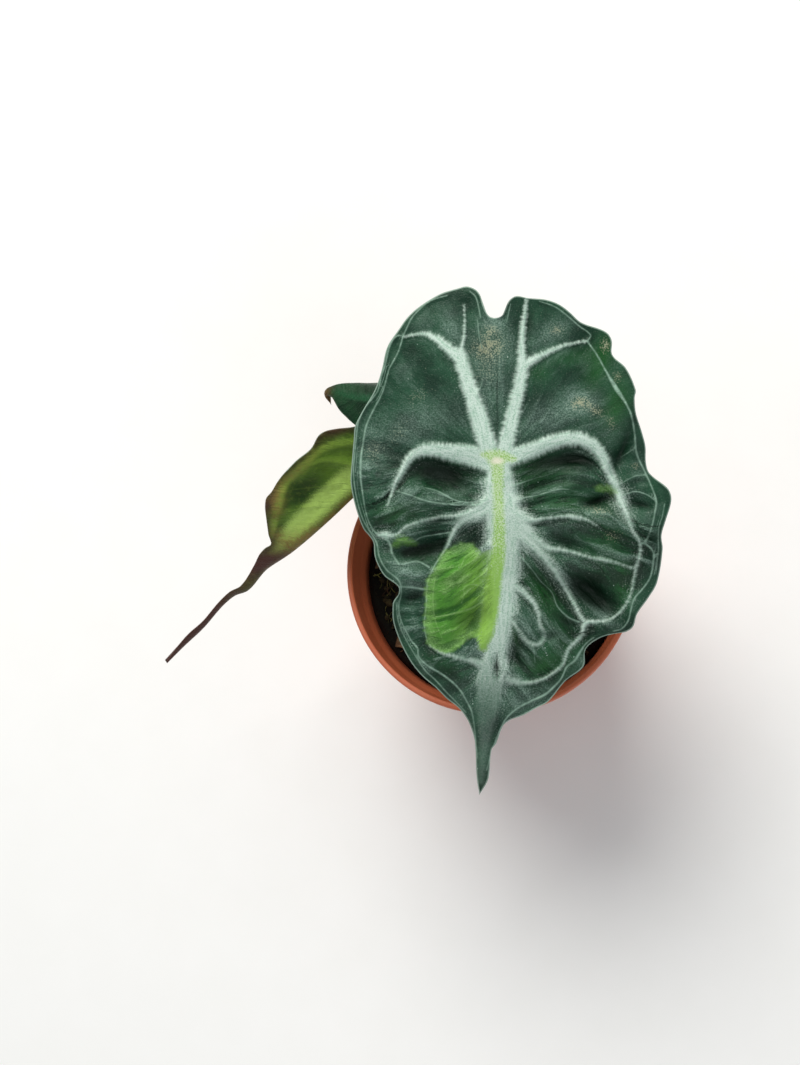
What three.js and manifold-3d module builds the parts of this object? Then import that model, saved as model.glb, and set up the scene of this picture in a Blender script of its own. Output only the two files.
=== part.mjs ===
// Potted venom aurea alocasia: a young aroid with three blades in an 8 cm nursery pot.
// Millimetres, +Z up. The origin is the centre of the pot's flat underside.
// Blade patterns are drawn flat, (across, along), with the stem joint at (0, 0), the drip tip at
// negative "along" and the notch between the two rear lobes at positive "along".

import * as THREE from 'three';
import { mergeVertices } from 'three/addons/utils/BufferGeometryUtils.js';
import Module from 'manifold-3d';

const wasm = await Module();
wasm.setup();

// Pot
const POT_HEIGHT = 70;
const RIM_RADIUS = 40;
const RIM_WALL = 1.6;
const COLLAR_HEIGHT = 10;
const COLLAR_DRAFT = 0.6;
const BODY_TOP_RADIUS = 37.6;
const BASE_RADIUS = 28.5;
const BODY_WALL = 1.3;
const FLOOR_THICKNESS = 1.6;
const FLOOR_RECESS = 1;
const CENTRE_PAD_RADIUS = 13;
const FOOT_RING_WIDTH = 3.2;
const DRAIN_HOLES = 6;
const DRAIN_RADIUS = 3.5;
const DRAIN_CIRCLE = 19;
const POT_SIDES = 48;

// Soil
const SOIL_LEVEL = 61.5;
const SOIL_SIDES = 30;
const SOIL_LUMPS = 34;
const SOIL_CHIPS = 14;
const STEM_DEPTH = 16;
const GAP = 0.35;

// Main blade
const BLADE_THICKNESS = 0.95;
const MAIN_JOINT = new THREE.Vector3(7.2, 16.5, 130);
const MAIN_SCALE = 0.96;
const MAIN_PITCH = 0.21;
const MAIN_LIST = 0.05;
const TIP_DROOP = 15;
const LOBE_DROOP = 3.5;
const EDGE_DROOP = 5;
const VEIN_RELIEF = 0.8;
const RIB_DEPTH = 0.8;

// The blades grew towards this point, high over the front of the pot.
const LIGHT = new THREE.Vector3(39, -67.7, 513.2);

const COLOURS = {
  pot: 0xb9562f, soil: 0x2b2119, stem: 0x6d8a3c, main: 0x2c5a41, left: 0x5d7a2a, back: 0x1f4d38,
};

function seeded(seed) {
  let state = seed;
  return () => {
    state = (state * 1664525 + 1013904223) % 4294967296;
    return state / 4294967296;
  };
}

// Solids and booleans

function toSolid(geometry) {
  const bare = geometry.clone();
  bare.deleteAttribute('normal');
  bare.deleteAttribute('uv');
  const merged = mergeVertices(bare, 1e-5);
  return new wasm.Manifold(new wasm.Mesh({
    numProp: 3,
    vertProperties: new Float32Array(merged.attributes.position.array),
    triVerts: new Uint32Array(merged.index.array),
  }));
}

function toGeometry(solid) {
  const mesh = solid.getMesh();
  const geometry = new THREE.BufferGeometry();
  geometry.setAttribute('position', new THREE.BufferAttribute(mesh.vertProperties, 3));
  geometry.setIndex(new THREE.BufferAttribute(mesh.triVerts, 1));
  return geometry;
}

function largestPiece(solid) {
  return solid.decompose().reduce((a, b) => (a.volume() > b.volume() ? a : b));
}

// Lines drawn as lists of [across, along] points

function atHeight(line, height) {
  for (let i = 1; i < line.length; i += 1) {
    const [from, to] = [line[i - 1], line[i]];
    if (height <= to[1]) {
      const part = THREE.MathUtils.clamp((height - from[1]) / (to[1] - from[1]), 0, 1);
      return [from[0] + (to[0] - from[0]) * part, from[1] + (to[1] - from[1]) * part];
    }
  }
  return line[line.length - 1];
}

function alongLine(line, fraction) {
  const steps = line.slice(1).map((p, i) => Math.hypot(p[0] - line[i][0], p[1] - line[i][1]));
  let rest = fraction * steps.reduce((sum, step) => sum + step, 0);
  for (let i = 0; i < steps.length; i += 1) {
    if (rest <= steps[i] || i === steps.length - 1) {
      const part = Math.min(rest / steps[i], 1);
      return [0, 1].map((k) => line[i][k] + (line[i + 1][k] - line[i][k]) * part);
    }
    rest -= steps[i];
  }
  return line[0];
}

function distanceTo(line, across, along) {
  let nearest = Infinity;
  for (let i = 1; i < line.length; i += 1) {
    const [ax, ay] = line[i - 1];
    const [dx, dy] = [line[i][0] - ax, line[i][1] - ay];
    const part = THREE.MathUtils.clamp(
      ((across - ax) * dx + (along - ay) * dy) / (dx * dx + dy * dy), 0, 1);
    nearest = Math.min(nearest, Math.hypot(across - ax - dx * part, along - ay - dy * part));
  }
  return nearest;
}

// A blade is a net of rows that run from the left margin over the midrib to the right margin.
// Below the stem joint a row is level; above it the rows fan round the two lobes to the notch.

const FAN_POWER = 1.6;

function bladeRows(pattern) {
  const { spine, left, right, lowRows, lobeRows, columns } = pattern;
  const tip = spine[0][1];
  const notch = spine[spine.length - 1][1];
  const rows = [];
  const margins = [left, right].map((line) => {
    const start = atHeight(line, 0);
    return { low: line, lobe: [start, ...line.slice(line.findIndex((p) => p[1] > 0))] };
  });
  for (let i = 0; i <= lowRows + lobeRows; i += 1) {
    const high = i > lowRows;
    const part = high ? (i - lowRows) / lobeRows : 0;
    const foot = high ? notch * part ** FAN_POWER : tip * (1 - i / lowRows);
    const middle = atHeight(spine, foot);
    const ends = margins.map((m) => (high ? alongLine(m.lobe, part) : atHeight(m.low, foot)));
    const row = [];
    for (let j = -columns; j <= columns; j += 1) {
      const end = ends[j < 0 ? 0 : 1];
      const edge = Math.abs(j) / columns;
      row.push({
        across: middle[0] + (end[0] - middle[0]) * edge,
        along: middle[1] + (end[1] - middle[1]) * edge,
        edge,
        side: Math.sign(j),
      });
    }
    rows.push(row);
  }
  rows[0] = [rows[0][columns]];
  rows[rows.length - 1] = [rows[rows.length - 1][columns]];
  return rows;
}

function spacing(positions, one, other) {
  return Math.hypot(...[0, 1, 2].map((k) => positions[one * 3 + k] - positions[other * 3 + k]));
}

// Both faces take the same triangles, so a waved blade never crosses itself.
function bladeGeometry(pattern, place) {
  const rows = bladeRows(pattern);
  const positions = [];
  const starts = [];
  let count = 0;
  for (const row of rows) {
    starts.push(count);
    for (const point of row) {
      const { top, bottom } = place(point);
      positions.push(...top.toArray(), ...bottom.toArray());
      count += 1;
    }
  }
  const vertex = (i, j, face) => (starts[i] + Math.min(j, rows[i].length - 1)) * 2 + face;
  const triangles = [];
  const width = rows[1].length - 1;
  const addFaces = (a, b, c) => {
    triangles.push(a, b, c, a + 1, c + 1, b + 1);
  };
  for (let i = 0; i < rows.length - 1; i += 1) {
    for (let j = 0; j < width; j += 1) {
      const [a, b] = [vertex(i, j, 0), vertex(i, j + 1, 0)];
      const [c, d] = [vertex(i + 1, j, 0), vertex(i + 1, j + 1, 0)];
      if (a === b) {
        addFaces(a, d, c);
      } else if (c === d) {
        addFaces(a, b, c);
      } else if (spacing(positions, b, c) < spacing(positions, a, d)) {
        addFaces(a, b, c);
        addFaces(b, d, c);
      } else {
        addFaces(a, b, d);
        addFaces(a, d, c);
      }
    }
    const [la, lb] = [vertex(i, 0, 0), vertex(i + 1, 0, 0)];
    triangles.push(la, lb, lb + 1, la, lb + 1, la + 1);
    const [ra, rb] = [vertex(i, width, 0), vertex(i + 1, width, 0)];
    triangles.push(ra, ra + 1, rb + 1, ra, rb + 1, rb);
  }
  const geometry = new THREE.BufferGeometry();
  geometry.setAttribute('position', new THREE.Float32BufferAttribute(positions, 3));
  geometry.setIndex(triangles);
  return geometry;
}

// Main blade pattern

const MAIN_SPINE = [
  [-4.4, -83.2], [-3.5, -74.5], [-2.8, -60], [-2.2, -46], [-0.7, -37], [0.3, -29], [0.7, -19],
  [0, -9], [0, 0], [0, 20], [-0.7, 36],
];

const MAIN_LEFT = [
  [-4.4, -83.2], [-5.1, -78.7], [-5.5, -70.3], [-6.3, -67], [-7.7, -63.9], [-9.7, -61.4],
  [-12.5, -59.2], [-15.3, -56.4], [-18.6, -53.6], [-21.4, -50.2], [-23.6, -46.3], [-25, -43],
  [-26, -39.6], [-26.1, -36.8], [-25.9, -34.9], [-24.6, -32.9], [-24.6, -31.3], [-25.9, -30.1],
  [-28.1, -28.5], [-29.8, -25.7], [-30.6, -23.4], [-30.9, -20.1], [-32, -18.4], [-33.4, -16.7],
  [-35, -12.5], [-36.2, -7.8], [-36.6, -4.5], [-36.3, 0], [-35.8, 5.6], [-35.5, 8.9],
  [-34.2, 11.7], [-32.6, 14.5], [-30.9, 17.3], [-29.7, 20.1], [-28.7, 23.5], [-27.4, 28.8],
  [-24.5, 33.2], [-22.5, 36], [-19.7, 38.6], [-14.2, 42], [-9.7, 43.4], [-7.7, 43.9],
  [-6.1, 43.4], [-4.7, 42.2], [-3.8, 39.6], [-2.7, 37.1], [-0.7, 36],
];

const MAIN_RIGHT = [
  [-4.4, -83.2], [-2.2, -79.2], [-1.4, -72], [-0.2, -70.3], [1.4, -66.1], [3.2, -64.5],
  [6.5, -63.3], [9.9, -61.4], [12.7, -60], [17.1, -54.7], [21.6, -51.1], [22.1, -46.9],
  [24.9, -44.4], [28.3, -43.1], [31.6, -42.7], [33.9, -41.3], [35, -38], [37.8, -34], [40, -30.1],
  [41.4, -21.8], [41.1, -18.4], [42.2, -14.5], [43.4, -10.6], [43.5, -8.4], [42.5, -6.4],
  [38.1, -2.8], [37.2, 0], [37.1, 3.9], [36.1, 7.8], [34.7, 12.3], [34.4, 16.2], [34.7, 17.9],
  [32.2, 23.5], [28.8, 26.8], [28.7, 30.2], [27.7, 32.1], [25.8, 33.2], [21, 34.9],
  [18.2, 37.4], [15.5, 39.4], [12.1, 40.6], [7.6, 41], [4.8, 41.4], [3.2, 40.8], [2.3, 39.1],
  [1.8, 37.4], [-0.7, 36],
];

// Main veins, each with its half-width: midrib, two rear ribs, two arches and four side ribs
const MAIN_VEINS = [
  { width: 2.6, line: MAIN_SPINE.filter((p) => p[1] <= 0) },
  { width: 2.4, line: [[-1.7, 3], [-4.2, 10.5], [-6.2, 18], [-8.7, 27.5], [-8.2, 38]] },
  { width: 2.4, line: [[2, 3], [3.7, 10.5], [5.2, 18], [6.5, 30.5], [7.5, 40]] },
  { width: 1.6, line: [[-8.7, 27.5], [-14.3, 31.5], [-23.3, 31.5]] },
  { width: 1.6, line: [[6.2, 24.3], [12, 28], [22.8, 30]] },
  {
    width: 2.2,
    line: [[-3, 0], [-10.5, 2.5], [-18, 4], [-20.8, 2.5], [-25.3, -5], [-28.3, -11.5]],
  },
  {
    width: 2.2,
    line: [
      [3.3, 0.5], [10.8, 4.8], [19.5, 6.3], [25.3, 2.5], [30.5, -9.5], [35.3, -19.8],
      [34.1, -31], [30.9, -37], [21.8, -40.1], [18.4, -46.6], [12.9, -53.5], [2.7, -55.1],
    ],
  },
  { width: 1.8, line: [[4.3, -12.3], [10.4, -19.2], [15.9, -21.8], [27.1, -24.7], [34.4, -26.6]] },
  { width: 2, line: [[2.5, -15], [8.9, -23], [14.9, -27.6], [18.7, -33.9], [21.6, -39.6]] },
  { width: 1.6, line: [[4.3, -31.4], [8.4, -34.7], [11.5, -43.8], [8, -45.8], [4.8, -41.2]] },
  {
    width: 1.9,
    line: [
      [-2.9, -11.7], [-9.8, -16.6], [-13.6, -24], [-17.2, -29.6], [-18.1, -39.6],
      [-16.8, -46.1], [-10.3, -48.5], [-3, -50.8],
    ],
  },
  { width: 1.6, line: [[-9.8, -13.9], [-17.2, -14.8], [-26.6, -17.9]] },
];

// Hollows (negative) and pillows (positive) between the veins:
// centre across, centre along, half-length, half-width, turn in degrees, depth
const MAIN_FOLDS = [
  [-11.8, -4, 8, 4.5, 12, -2.2], [-18.3, -19.8, 6.5, 2.8, 22, -2.6],
  [-7.3, -17.8, 4, 3, 40, -1.4], [-21.2, -33.8, 3, 2.4, 10, -1],
  [-6.8, -39.8, 4.5, 3, 60, -1.3], [-11.5, -32, 5, 3.4, 70, 1.2], [17.5, 1.2, 5, 2.6, 5, -1],
  [11, -5.5, 7, 3.2, 14, -2], [25, -9.5, 5, 2.6, 20, -2], [31, 1.8, 6, 2.8, 115, -1.8],
  [35.8, -10, 3.5, 2.4, 0, -1], [17.3, -19, 6, 2.6, -10, -1.6],
  [23.3, -33.3, 7, 3.8, -40, -3.2], [12.3, -30.3, 6, 2.8, -42, -1.8],
  [21, -13.8, 7, 3.4, 0, 1.4], [20.5, -3.5, 5, 3, 20, 1], [29, -27, 5, 3.4, -30, 1.2],
];

const MAIN_WAVE = { turns: 9, phase: 0.6, left: 0.9, right: 1.7 };

function ridge(veins, across, along) {
  const bumps = veins.map(({ width, line }) => {
    const share = distanceTo(line, across, along) / width;
    return Math.exp(-(share ** 2));
  });
  return Math.max(...bumps);
}

function folds(list, across, along) {
  return list.reduce((sum, [x, y, length, width, turn, depth]) => {
    const angle = THREE.MathUtils.degToRad(turn);
    const [dx, dy] = [across - x, along - y];
    const u = (dx * Math.cos(angle) + dy * Math.sin(angle)) / length;
    const v = (dy * Math.cos(angle) - dx * Math.sin(angle)) / width;
    return sum + depth * Math.exp(-(u * u + v * v));
  }, 0);
}

function mainHeight({ across, along, edge, side }) {
  const slope = MAIN_PITCH * along + MAIN_LIST * across;
  const droop = -TIP_DROOP * (Math.max(0, -along) / 80) ** 1.9
    - LOBE_DROOP * (Math.max(0, along) / 42) ** 2;
  const crown = -EDGE_DROOP * (across / 42) ** 2;
  const heading = Math.atan2(across, along + 18);
  const swing = side < 0 ? MAIN_WAVE.left : MAIN_WAVE.right;
  const wave = swing * edge ** 3 * Math.sin(MAIN_WAVE.turns * heading + MAIN_WAVE.phase);
  const relief = VEIN_RELIEF * ridge(MAIN_VEINS, across, along) * (1 - edge ** 6);
  return slope + droop + crown + wave + relief + folds(MAIN_FOLDS, across, along);
}

const FACE_NORMAL = new THREE.Vector3(0.141, -0.172, 0.975).normalize();
const FACE_RIGHT = new THREE.Vector3(0, 1, 0).cross(FACE_NORMAL).normalize();
const FACE_UP = FACE_NORMAL.clone().cross(FACE_RIGHT);

function mainPlace(extra = 0) {
  const reach = MAIN_JOINT.distanceTo(LIGHT);
  return (point) => {
    const flat = MAIN_JOINT.clone()
      .addScaledVector(FACE_RIGHT, point.across * MAIN_SCALE)
      .addScaledVector(FACE_UP, point.along * MAIN_SCALE);
    const height = mainHeight(point);
    const rib = RIB_DEPTH * ridge(MAIN_VEINS, point.across, point.along) * (1 - point.edge ** 4);
    return {
      top: flat.clone().lerp(LIGHT, (height + extra) / reach),
      bottom: flat.clone().lerp(LIGHT, (height - BLADE_THICKNESS - rib - extra) / reach),
    };
  };
}

const MAIN_PATTERN = {
  spine: MAIN_SPINE, left: MAIN_LEFT, right: MAIN_RIGHT, lowRows: 36, lobeRows: 16, columns: 13,
};

// A folded blade is the same flat net, bent over a midrib curve in space. Each half leaves the
// keel sideways, bends up towards the fold's open side and runs on straight to its margin. The
// rib under the keel thins out in the rolled tip.
const TIP_RIB_LOSS = 0.7;

function foldedPlace(leaf, extra = 0) {
  const curve = new THREE.CatmullRomCurve3(leaf.midrib.map((p) => new THREE.Vector3(...p)));
  const length = curve.getLength();
  const surface = (across, along) => {
    const share = THREE.MathUtils.clamp((leaf.jointAt - along) / length, 0, 1);
    const origin = curve.getPointAt(share);
    const tangent = curve.getTangentAt(share);
    const open = leaf.open.clone().addScaledVector(tangent, -leaf.open.dot(tangent)).normalize();
    const sideways = open.clone().cross(tangent);
    const side = across < 0 ? leaf.leftHalf : leaf.rightHalf;
    const tightness = THREE.MathUtils.smoothstep(-along, leaf.rollFrom, leaf.rollFrom + 12);
    const bend = THREE.MathUtils.lerp(side.bend, leaf.rollBend, tightness);
    const radius = THREE.MathUtils.lerp(leaf.keelRadius, leaf.rollRadius, tightness);
    const distance = Math.abs(across);
    const turned = Math.min(distance / radius, Math.abs(bend)) * Math.sign(bend);
    const straight = Math.max(0, distance - radius * Math.abs(bend));
    const rise = radius * (1 - Math.cos(turned)) * Math.sign(bend) + straight * Math.sin(bend);
    const out = radius * Math.abs(Math.sin(turned)) + straight * Math.cos(bend);
    const heading = Math.atan2(across, along + leaf.waveCentre);
    const sway = side.wave * (distance / leaf.halfWidth) ** 2 * Math.sin(leaf.waveTurns * heading);
    return origin
      .addScaledVector(open, rise + sway * Math.cos(bend))
      .addScaledVector(sideways, (out - sway * Math.sin(bend)) * Math.sign(across));
  };
  const step = 0.4;
  return ({ across, along, edge }) => {
    const middle = surface(across, along);
    const sideStep = surface(across + step, along).sub(surface(across - step, along));
    const longStep = surface(across, along + step).sub(surface(across, along - step));
    const normal = sideStep.cross(longStep).normalize();
    const fading = THREE.MathUtils.smoothstep(-along, leaf.rollFrom - 4, leaf.rollFrom + 8);
    const rib = leaf.rib * (1 - TIP_RIB_LOSS * fading)
      * Math.exp(-((across / leaf.ribWidth) ** 2)) * (1 - edge ** 2)
      + leaf.sideRib * ridge(leaf.veins, Math.abs(across), along) * (1 - edge ** 2);
    const half = BLADE_THICKNESS / 2;
    return {
      top: middle.clone().addScaledVector(normal, half + extra),
      bottom: middle.clone().addScaledVector(normal, -half - rib - extra),
    };
  };
}

function mirrored(line) {
  return line.map(([across, along]) => [-across, along]);
}

const FOLDED_MARGIN = [
  [0, -95.9], [0.5, -93.8], [1.2, -88], [1.7, -82], [1.2, -74], [1.5, -65], [2.2, -57], [2.6, -51],
  [3.4, -47.5], [4.8, -44], [5.3, -41.4], [5.1, -39.4], [8, -37.6], [13, -33.6],
  [16.6, -29.9], [16.8, -27.4], [17.5, -24.4], [19.2, -16.2], [18.4, -12], [19.4, -8.4],
  [18, -4.6], [16.2, -1], [14.9, 2], [13.3, 6.5], [11.3, 10.5], [9.1, 13], [6.4, 13.8],
  [3.4, 12.6], [1.4, 10.8], [0, 10.2],
];

const FOLDED_VEINS = [
  { width: 1.7, line: [[0, 0], [6, 2], [11, 0], [14, -7]] },
  { width: 1.5, line: [[0, -10], [5, -14], [8, -22], [9, -32]] },
  { width: 1.5, line: [[1, 2], [4, 7], [6, 12]] },
];

const LEFT_LEAF = {
  midrib: [
    [-12.7, 31.1, 100], [-23.4, 24.9, 97], [-33.8, 18.1, 94], [-41, 12.4, 91.5],
    [-49, 6.5, 88.5], [-56.1, 1.9, 85.5], [-60.9, -1.2, 82.5], [-66.3, -5.6, 78],
    [-70.9, -6.7, 75], [-75.3, -9.3, 72], [-81.9, -14.5, 66.5], [-89.2, -19.4, 61.5],
    [-95.9, -24.4, 57],
  ],
  jointAt: 12.7,
  open: new THREE.Vector3(-0.5, 0.86, -0.03),
  leftHalf: { bend: THREE.MathUtils.degToRad(42), wave: 1.6 },
  rightHalf: { bend: THREE.MathUtils.degToRad(42), wave: 1.3 },
  keelRadius: 4,
  rollFrom: 41,
  rollBend: THREE.MathUtils.degToRad(75),
  rollRadius: 1.5,
  halfWidth: 20,
  waveCentre: 16,
  waveTurns: 7,
  rib: 1.5,
  ribWidth: 2.6,
  sideRib: 0.5,
  veins: FOLDED_VEINS,
  pattern: {
    spine: [[0, -95.9], [0, 0], [0, 10.2]],
    left: mirrored(FOLDED_MARGIN),
    right: FOLDED_MARGIN,
    lowRows: 44,
    lobeRows: 10,
    columns: 7,
  },
};

const BACK_MARGIN = [
  [0, -39.1], [0.6, -37.1], [1, -35.2], [1.5, -33.6], [2.3, -31.8], [3.5, -29.4], [5.3, -26],
  [7.6, -21.6], [11.6, -14.6], [13.6, -9], [14.4, -3], [14, 2], [12.8, 6.5], [10.6, 10.4],
  [8, 12.6], [5.2, 13], [2.8, 11.6], [1.2, 10.2], [0, 9.4],
];

const BACK_VEINS = [
  { width: 1.6, line: [[0, 0], [6, 1], [10, -3], [12, -12]] },
  { width: 1.5, line: [[0, -9], [6, -15], [9, -24]] },
  { width: 1.5, line: [[1, 2], [4, 8], [6, 13]] },
];

const BACK_LEAF = {
  midrib: [
    [6, 31, 120.5], [-6, 32.8, 118.5], [-18.4, 36, 115.5],
    [-26.5, 37.7, 113], [-32.1, 39.2, 111], [-36.4, 40.9, 109.5], [-38.4, 40.9, 108],
    [-38.1, 38.8, 104.5],
  ],
  jointAt: 12.3,
  open: new THREE.Vector3(0.05, -0.28, 0.96),
  leftHalf: { bend: THREE.MathUtils.degToRad(-80), wave: 0.8 },
  rightHalf: { bend: THREE.MathUtils.degToRad(8), wave: 1.2 },
  keelRadius: 3.2,
  rollFrom: 29,
  rollBend: THREE.MathUtils.degToRad(25),
  rollRadius: 2,
  halfWidth: 17,
  waveCentre: 12,
  waveTurns: 7,
  rib: 1.2,
  ribWidth: 2.2,
  sideRib: 0.4,
  veins: BACK_VEINS,
  pattern: {
    spine: [[0, -39.1], [0, 0], [0, 9.4]],
    left: mirrored(BACK_MARGIN),
    right: BACK_MARGIN,
    lowRows: 20,
    lobeRows: 8,
    columns: 6,
  },
};

// Stems: tapered, slightly flattened tubes, wider in the sheath where they leave the soil

const STEM_SIDES = 12;
const STEM_RINGS = 16;

function stemGeometry({ path, foot, head, sheath }, grow = 0) {
  const curve = new THREE.CatmullRomCurve3(path.map((p) => new THREE.Vector3(...p)));
  const frames = curve.computeFrenetFrames(STEM_RINGS, false);
  const positions = [];
  for (let i = 0; i <= STEM_RINGS; i += 1) {
    const part = i / STEM_RINGS;
    const centre = curve.getPointAt(part);
    const radius = THREE.MathUtils.lerp(foot, head, part ** 0.7) + grow;
    const flare = 1 + sheath * (1 - THREE.MathUtils.smoothstep(part, 0.05, 0.5));
    for (let k = 0; k < STEM_SIDES; k += 1) {
      const angle = (k / STEM_SIDES) * 2 * Math.PI;
      const point = centre.clone()
        .addScaledVector(frames.normals[i], Math.cos(angle) * radius * flare)
        .addScaledVector(frames.binormals[i], Math.sin(angle) * radius);
      positions.push(...point.toArray());
    }
  }
  const ends = [curve.getPointAt(0), curve.getPointAt(1)];
  ends.forEach((end) => positions.push(...end.toArray()));
  const footCentre = (STEM_RINGS + 1) * STEM_SIDES;
  const triangles = [];
  for (let k = 0; k < STEM_SIDES; k += 1) {
    const next = (k + 1) % STEM_SIDES;
    for (let i = 0; i < STEM_RINGS; i += 1) {
      const [low, high] = [i * STEM_SIDES, (i + 1) * STEM_SIDES];
      triangles.push(low + k, low + next, high + next, low + k, high + next, high + k);
    }
    const top = STEM_RINGS * STEM_SIDES;
    triangles.push(footCentre, next, k, footCentre + 1, top + k, top + next);
  }
  const geometry = new THREE.BufferGeometry();
  geometry.setAttribute('position', new THREE.Float32BufferAttribute(positions, 3));
  geometry.setIndex(triangles);
  return geometry;
}

const STEM_FOOT = SOIL_LEVEL - STEM_DEPTH;
const MAIN_STEM = {
  path: [[1.5, 2.5, STEM_FOOT], [2, 4.5, 62], [3.5, 9.5, 84], [6.2, 15.8, 110], [7.3, 16.4, 130.5]],
  foot: 4, head: 2.3, sheath: 0.35,
};
const LEFT_STEM = {
  path: [[-3.5, -1, STEM_FOOT], [-4.5, 0.5, 62], [-9, 7, 78], [-16.5, 17, 90.5], [-22.8, 24.3, 97.2]],
  foot: 3.2, head: 1.9, sheath: 0.3,
};
const BACK_STEM = {
  path: [[2.5, 8, STEM_FOOT], [4, 11.5, 62], [6, 22, 84], [1.5, 30, 104], [-5.7, 32.7, 119]],
  foot: 3.4, head: 1.9, sheath: 0.3,
};

function buildStem(stem, younger, bladeCut) {
  let solid = toSolid(stemGeometry(stem));
  for (const neighbour of younger) solid = solid.subtract(toSolid(stemGeometry(neighbour, GAP)));
  return largestPiece(solid.subtract(bladeCut));
}

// Pot

function potGeometry() {
  const collarFoot = POT_HEIGHT - COLLAR_HEIGHT;
  const collarFootRadius = RIM_RADIUS - COLLAR_DRAFT;
  const profile = [
    [0, 0], [CENTRE_PAD_RADIUS, 0], [CENTRE_PAD_RADIUS + 0.8, FLOOR_RECESS],
    [BASE_RADIUS - FOOT_RING_WIDTH - 0.8, FLOOR_RECESS], [BASE_RADIUS - FOOT_RING_WIDTH, 0],
    [BASE_RADIUS - 0.8, 0], [BASE_RADIUS, 0.8], [BODY_TOP_RADIUS, collarFoot - 1],
    [collarFootRadius, collarFoot], [RIM_RADIUS, POT_HEIGHT - 0.7],
    [RIM_RADIUS - 0.6, POT_HEIGHT], [RIM_RADIUS - RIM_WALL, POT_HEIGHT - 0.3],
    [collarFootRadius - RIM_WALL, collarFoot + 1],
    [BODY_TOP_RADIUS - BODY_WALL, collarFoot - 1.2],
    [BASE_RADIUS - BODY_WALL, FLOOR_THICKNESS + FLOOR_RECESS + 1],
    [BASE_RADIUS - BODY_WALL - 1, FLOOR_THICKNESS + FLOOR_RECESS],
    [0, FLOOR_THICKNESS + FLOOR_RECESS],
  ];
  const lathe = new THREE.LatheGeometry(profile.map(([r, z]) => new THREE.Vector2(r, z)), POT_SIDES);
  lathe.rotateX(Math.PI / 2);
  return lathe;
}

function buildPot() {
  let pot = toSolid(potGeometry());
  for (let i = 0; i < DRAIN_HOLES; i += 1) {
    const angle = ((i + 0.5) / DRAIN_HOLES) * 2 * Math.PI;
    const hole = new THREE.CylinderGeometry(DRAIN_RADIUS, DRAIN_RADIUS, 12, 16);
    hole.rotateX(Math.PI / 2);
    hole.translate(DRAIN_CIRCLE * Math.cos(angle), DRAIN_CIRCLE * Math.sin(angle), 0);
    pot = pot.subtract(toSolid(hole));
  }
  return pot;
}

// Soil: a filling with an uneven top, out of which bark chips and lumps of moss and coir stand

function soilRadius(height) {
  const low = FLOOR_THICKNESS + FLOOR_RECESS + 1;
  const part = (height - low) / (POT_HEIGHT - COLLAR_HEIGHT - 1 - low);
  return THREE.MathUtils.lerp(BASE_RADIUS, BODY_TOP_RADIUS, Math.min(part, 1)) - BODY_WALL - GAP;
}

function soilTop(x, y) {
  return SOIL_LEVEL + 0.9 * Math.sin(x / 7 + 1) * Math.cos(y / 6) + 0.5 * Math.sin(x / 2.6 + y / 3.4)
    - 0.0012 * (x * x + y * y);
}

function buildSoil(stems) {
  const floor = FLOOR_THICKNESS + FLOOR_RECESS + GAP;
  const shoulder = POT_HEIGHT - COLLAR_HEIGHT - 2.6;
  const edge = soilRadius(shoulder);
  const inner = [0.86, 0.68, 0.5, 0.32, 0.16, 0].map((part) => [edge * part, SOIL_LEVEL]);
  const profile = [
    [0, floor], [soilRadius(floor + 1) - 1, floor], [soilRadius(floor + 2), floor + 2],
    [edge, shoulder], [edge * 0.97, SOIL_LEVEL - 1], ...inner,
  ];
  const body = new THREE.LatheGeometry(profile.map(([r, z]) => new THREE.Vector2(r, z)), SOIL_SIDES);
  body.rotateX(Math.PI / 2);
  const places = body.attributes.position;
  for (let i = 0; i < places.count; i += 1) {
    const [x, y, z] = [places.getX(i), places.getY(i), places.getZ(i)];
    if (z > SOIL_LEVEL - 1.5) places.setZ(i, soilTop(x, y) - (SOIL_LEVEL - z));
  }
  let soil = toSolid(body);
  const random = seeded(17);
  for (let i = 0; i < SOIL_LUMPS + SOIL_CHIPS; i += 1) {
    const isChip = i >= SOIL_LUMPS;
    const shape = isChip
      ? new THREE.BoxGeometry(3 + 3.5 * random(), 1.8 + 1.6 * random(), 1.2 + 0.8 * random())
      : new THREE.IcosahedronGeometry(1.2 + 1.7 * random(), 0).scale(1, 0.8 + 0.4 * random(), 0.75);
    const distance = (edge - 4.6) * Math.sqrt(random());
    const angle = 2 * Math.PI * random();
    shape.rotateX(0.7 * (random() - 0.5)).rotateY(0.7 * (random() - 0.5)).rotateZ(6.28 * random());
    const [x, y] = [distance * Math.cos(angle), distance * Math.sin(angle)];
    shape.translate(x, y, soilTop(x, y) + (isChip ? 0.1 : -0.2));
    soil = soil.add(toSolid(shape));
  }
  for (const stem of stems) soil = soil.subtract(toSolid(stemGeometry(stem, GAP)));
  return largestPiece(soil);
}

// Assembly

const plant = new THREE.Group();

function addPiece(name, geometry, colour, roughness) {
  const material = new THREE.MeshStandardMaterial({ color: colour, roughness, metalness: 0 });
  const mesh = new THREE.Mesh(geometry, material);
  mesh.name = name;
  plant.add(mesh);
}

addPiece('pot', toGeometry(buildPot()), COLOURS.pot, 0.45);
addPiece('soil', toGeometry(buildSoil([MAIN_STEM, LEFT_STEM, BACK_STEM])), COLOURS.soil, 0.95);

addPiece('blade_main', bladeGeometry(MAIN_PATTERN, mainPlace()), COLOURS.main, 0.4);
addPiece('blade_left', bladeGeometry(LEFT_LEAF.pattern, foldedPlace(LEFT_LEAF)), COLOURS.left, 0.4);
addPiece('blade_back', bladeGeometry(BACK_LEAF.pattern, foldedPlace(BACK_LEAF)), COLOURS.back, 0.4);

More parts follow.
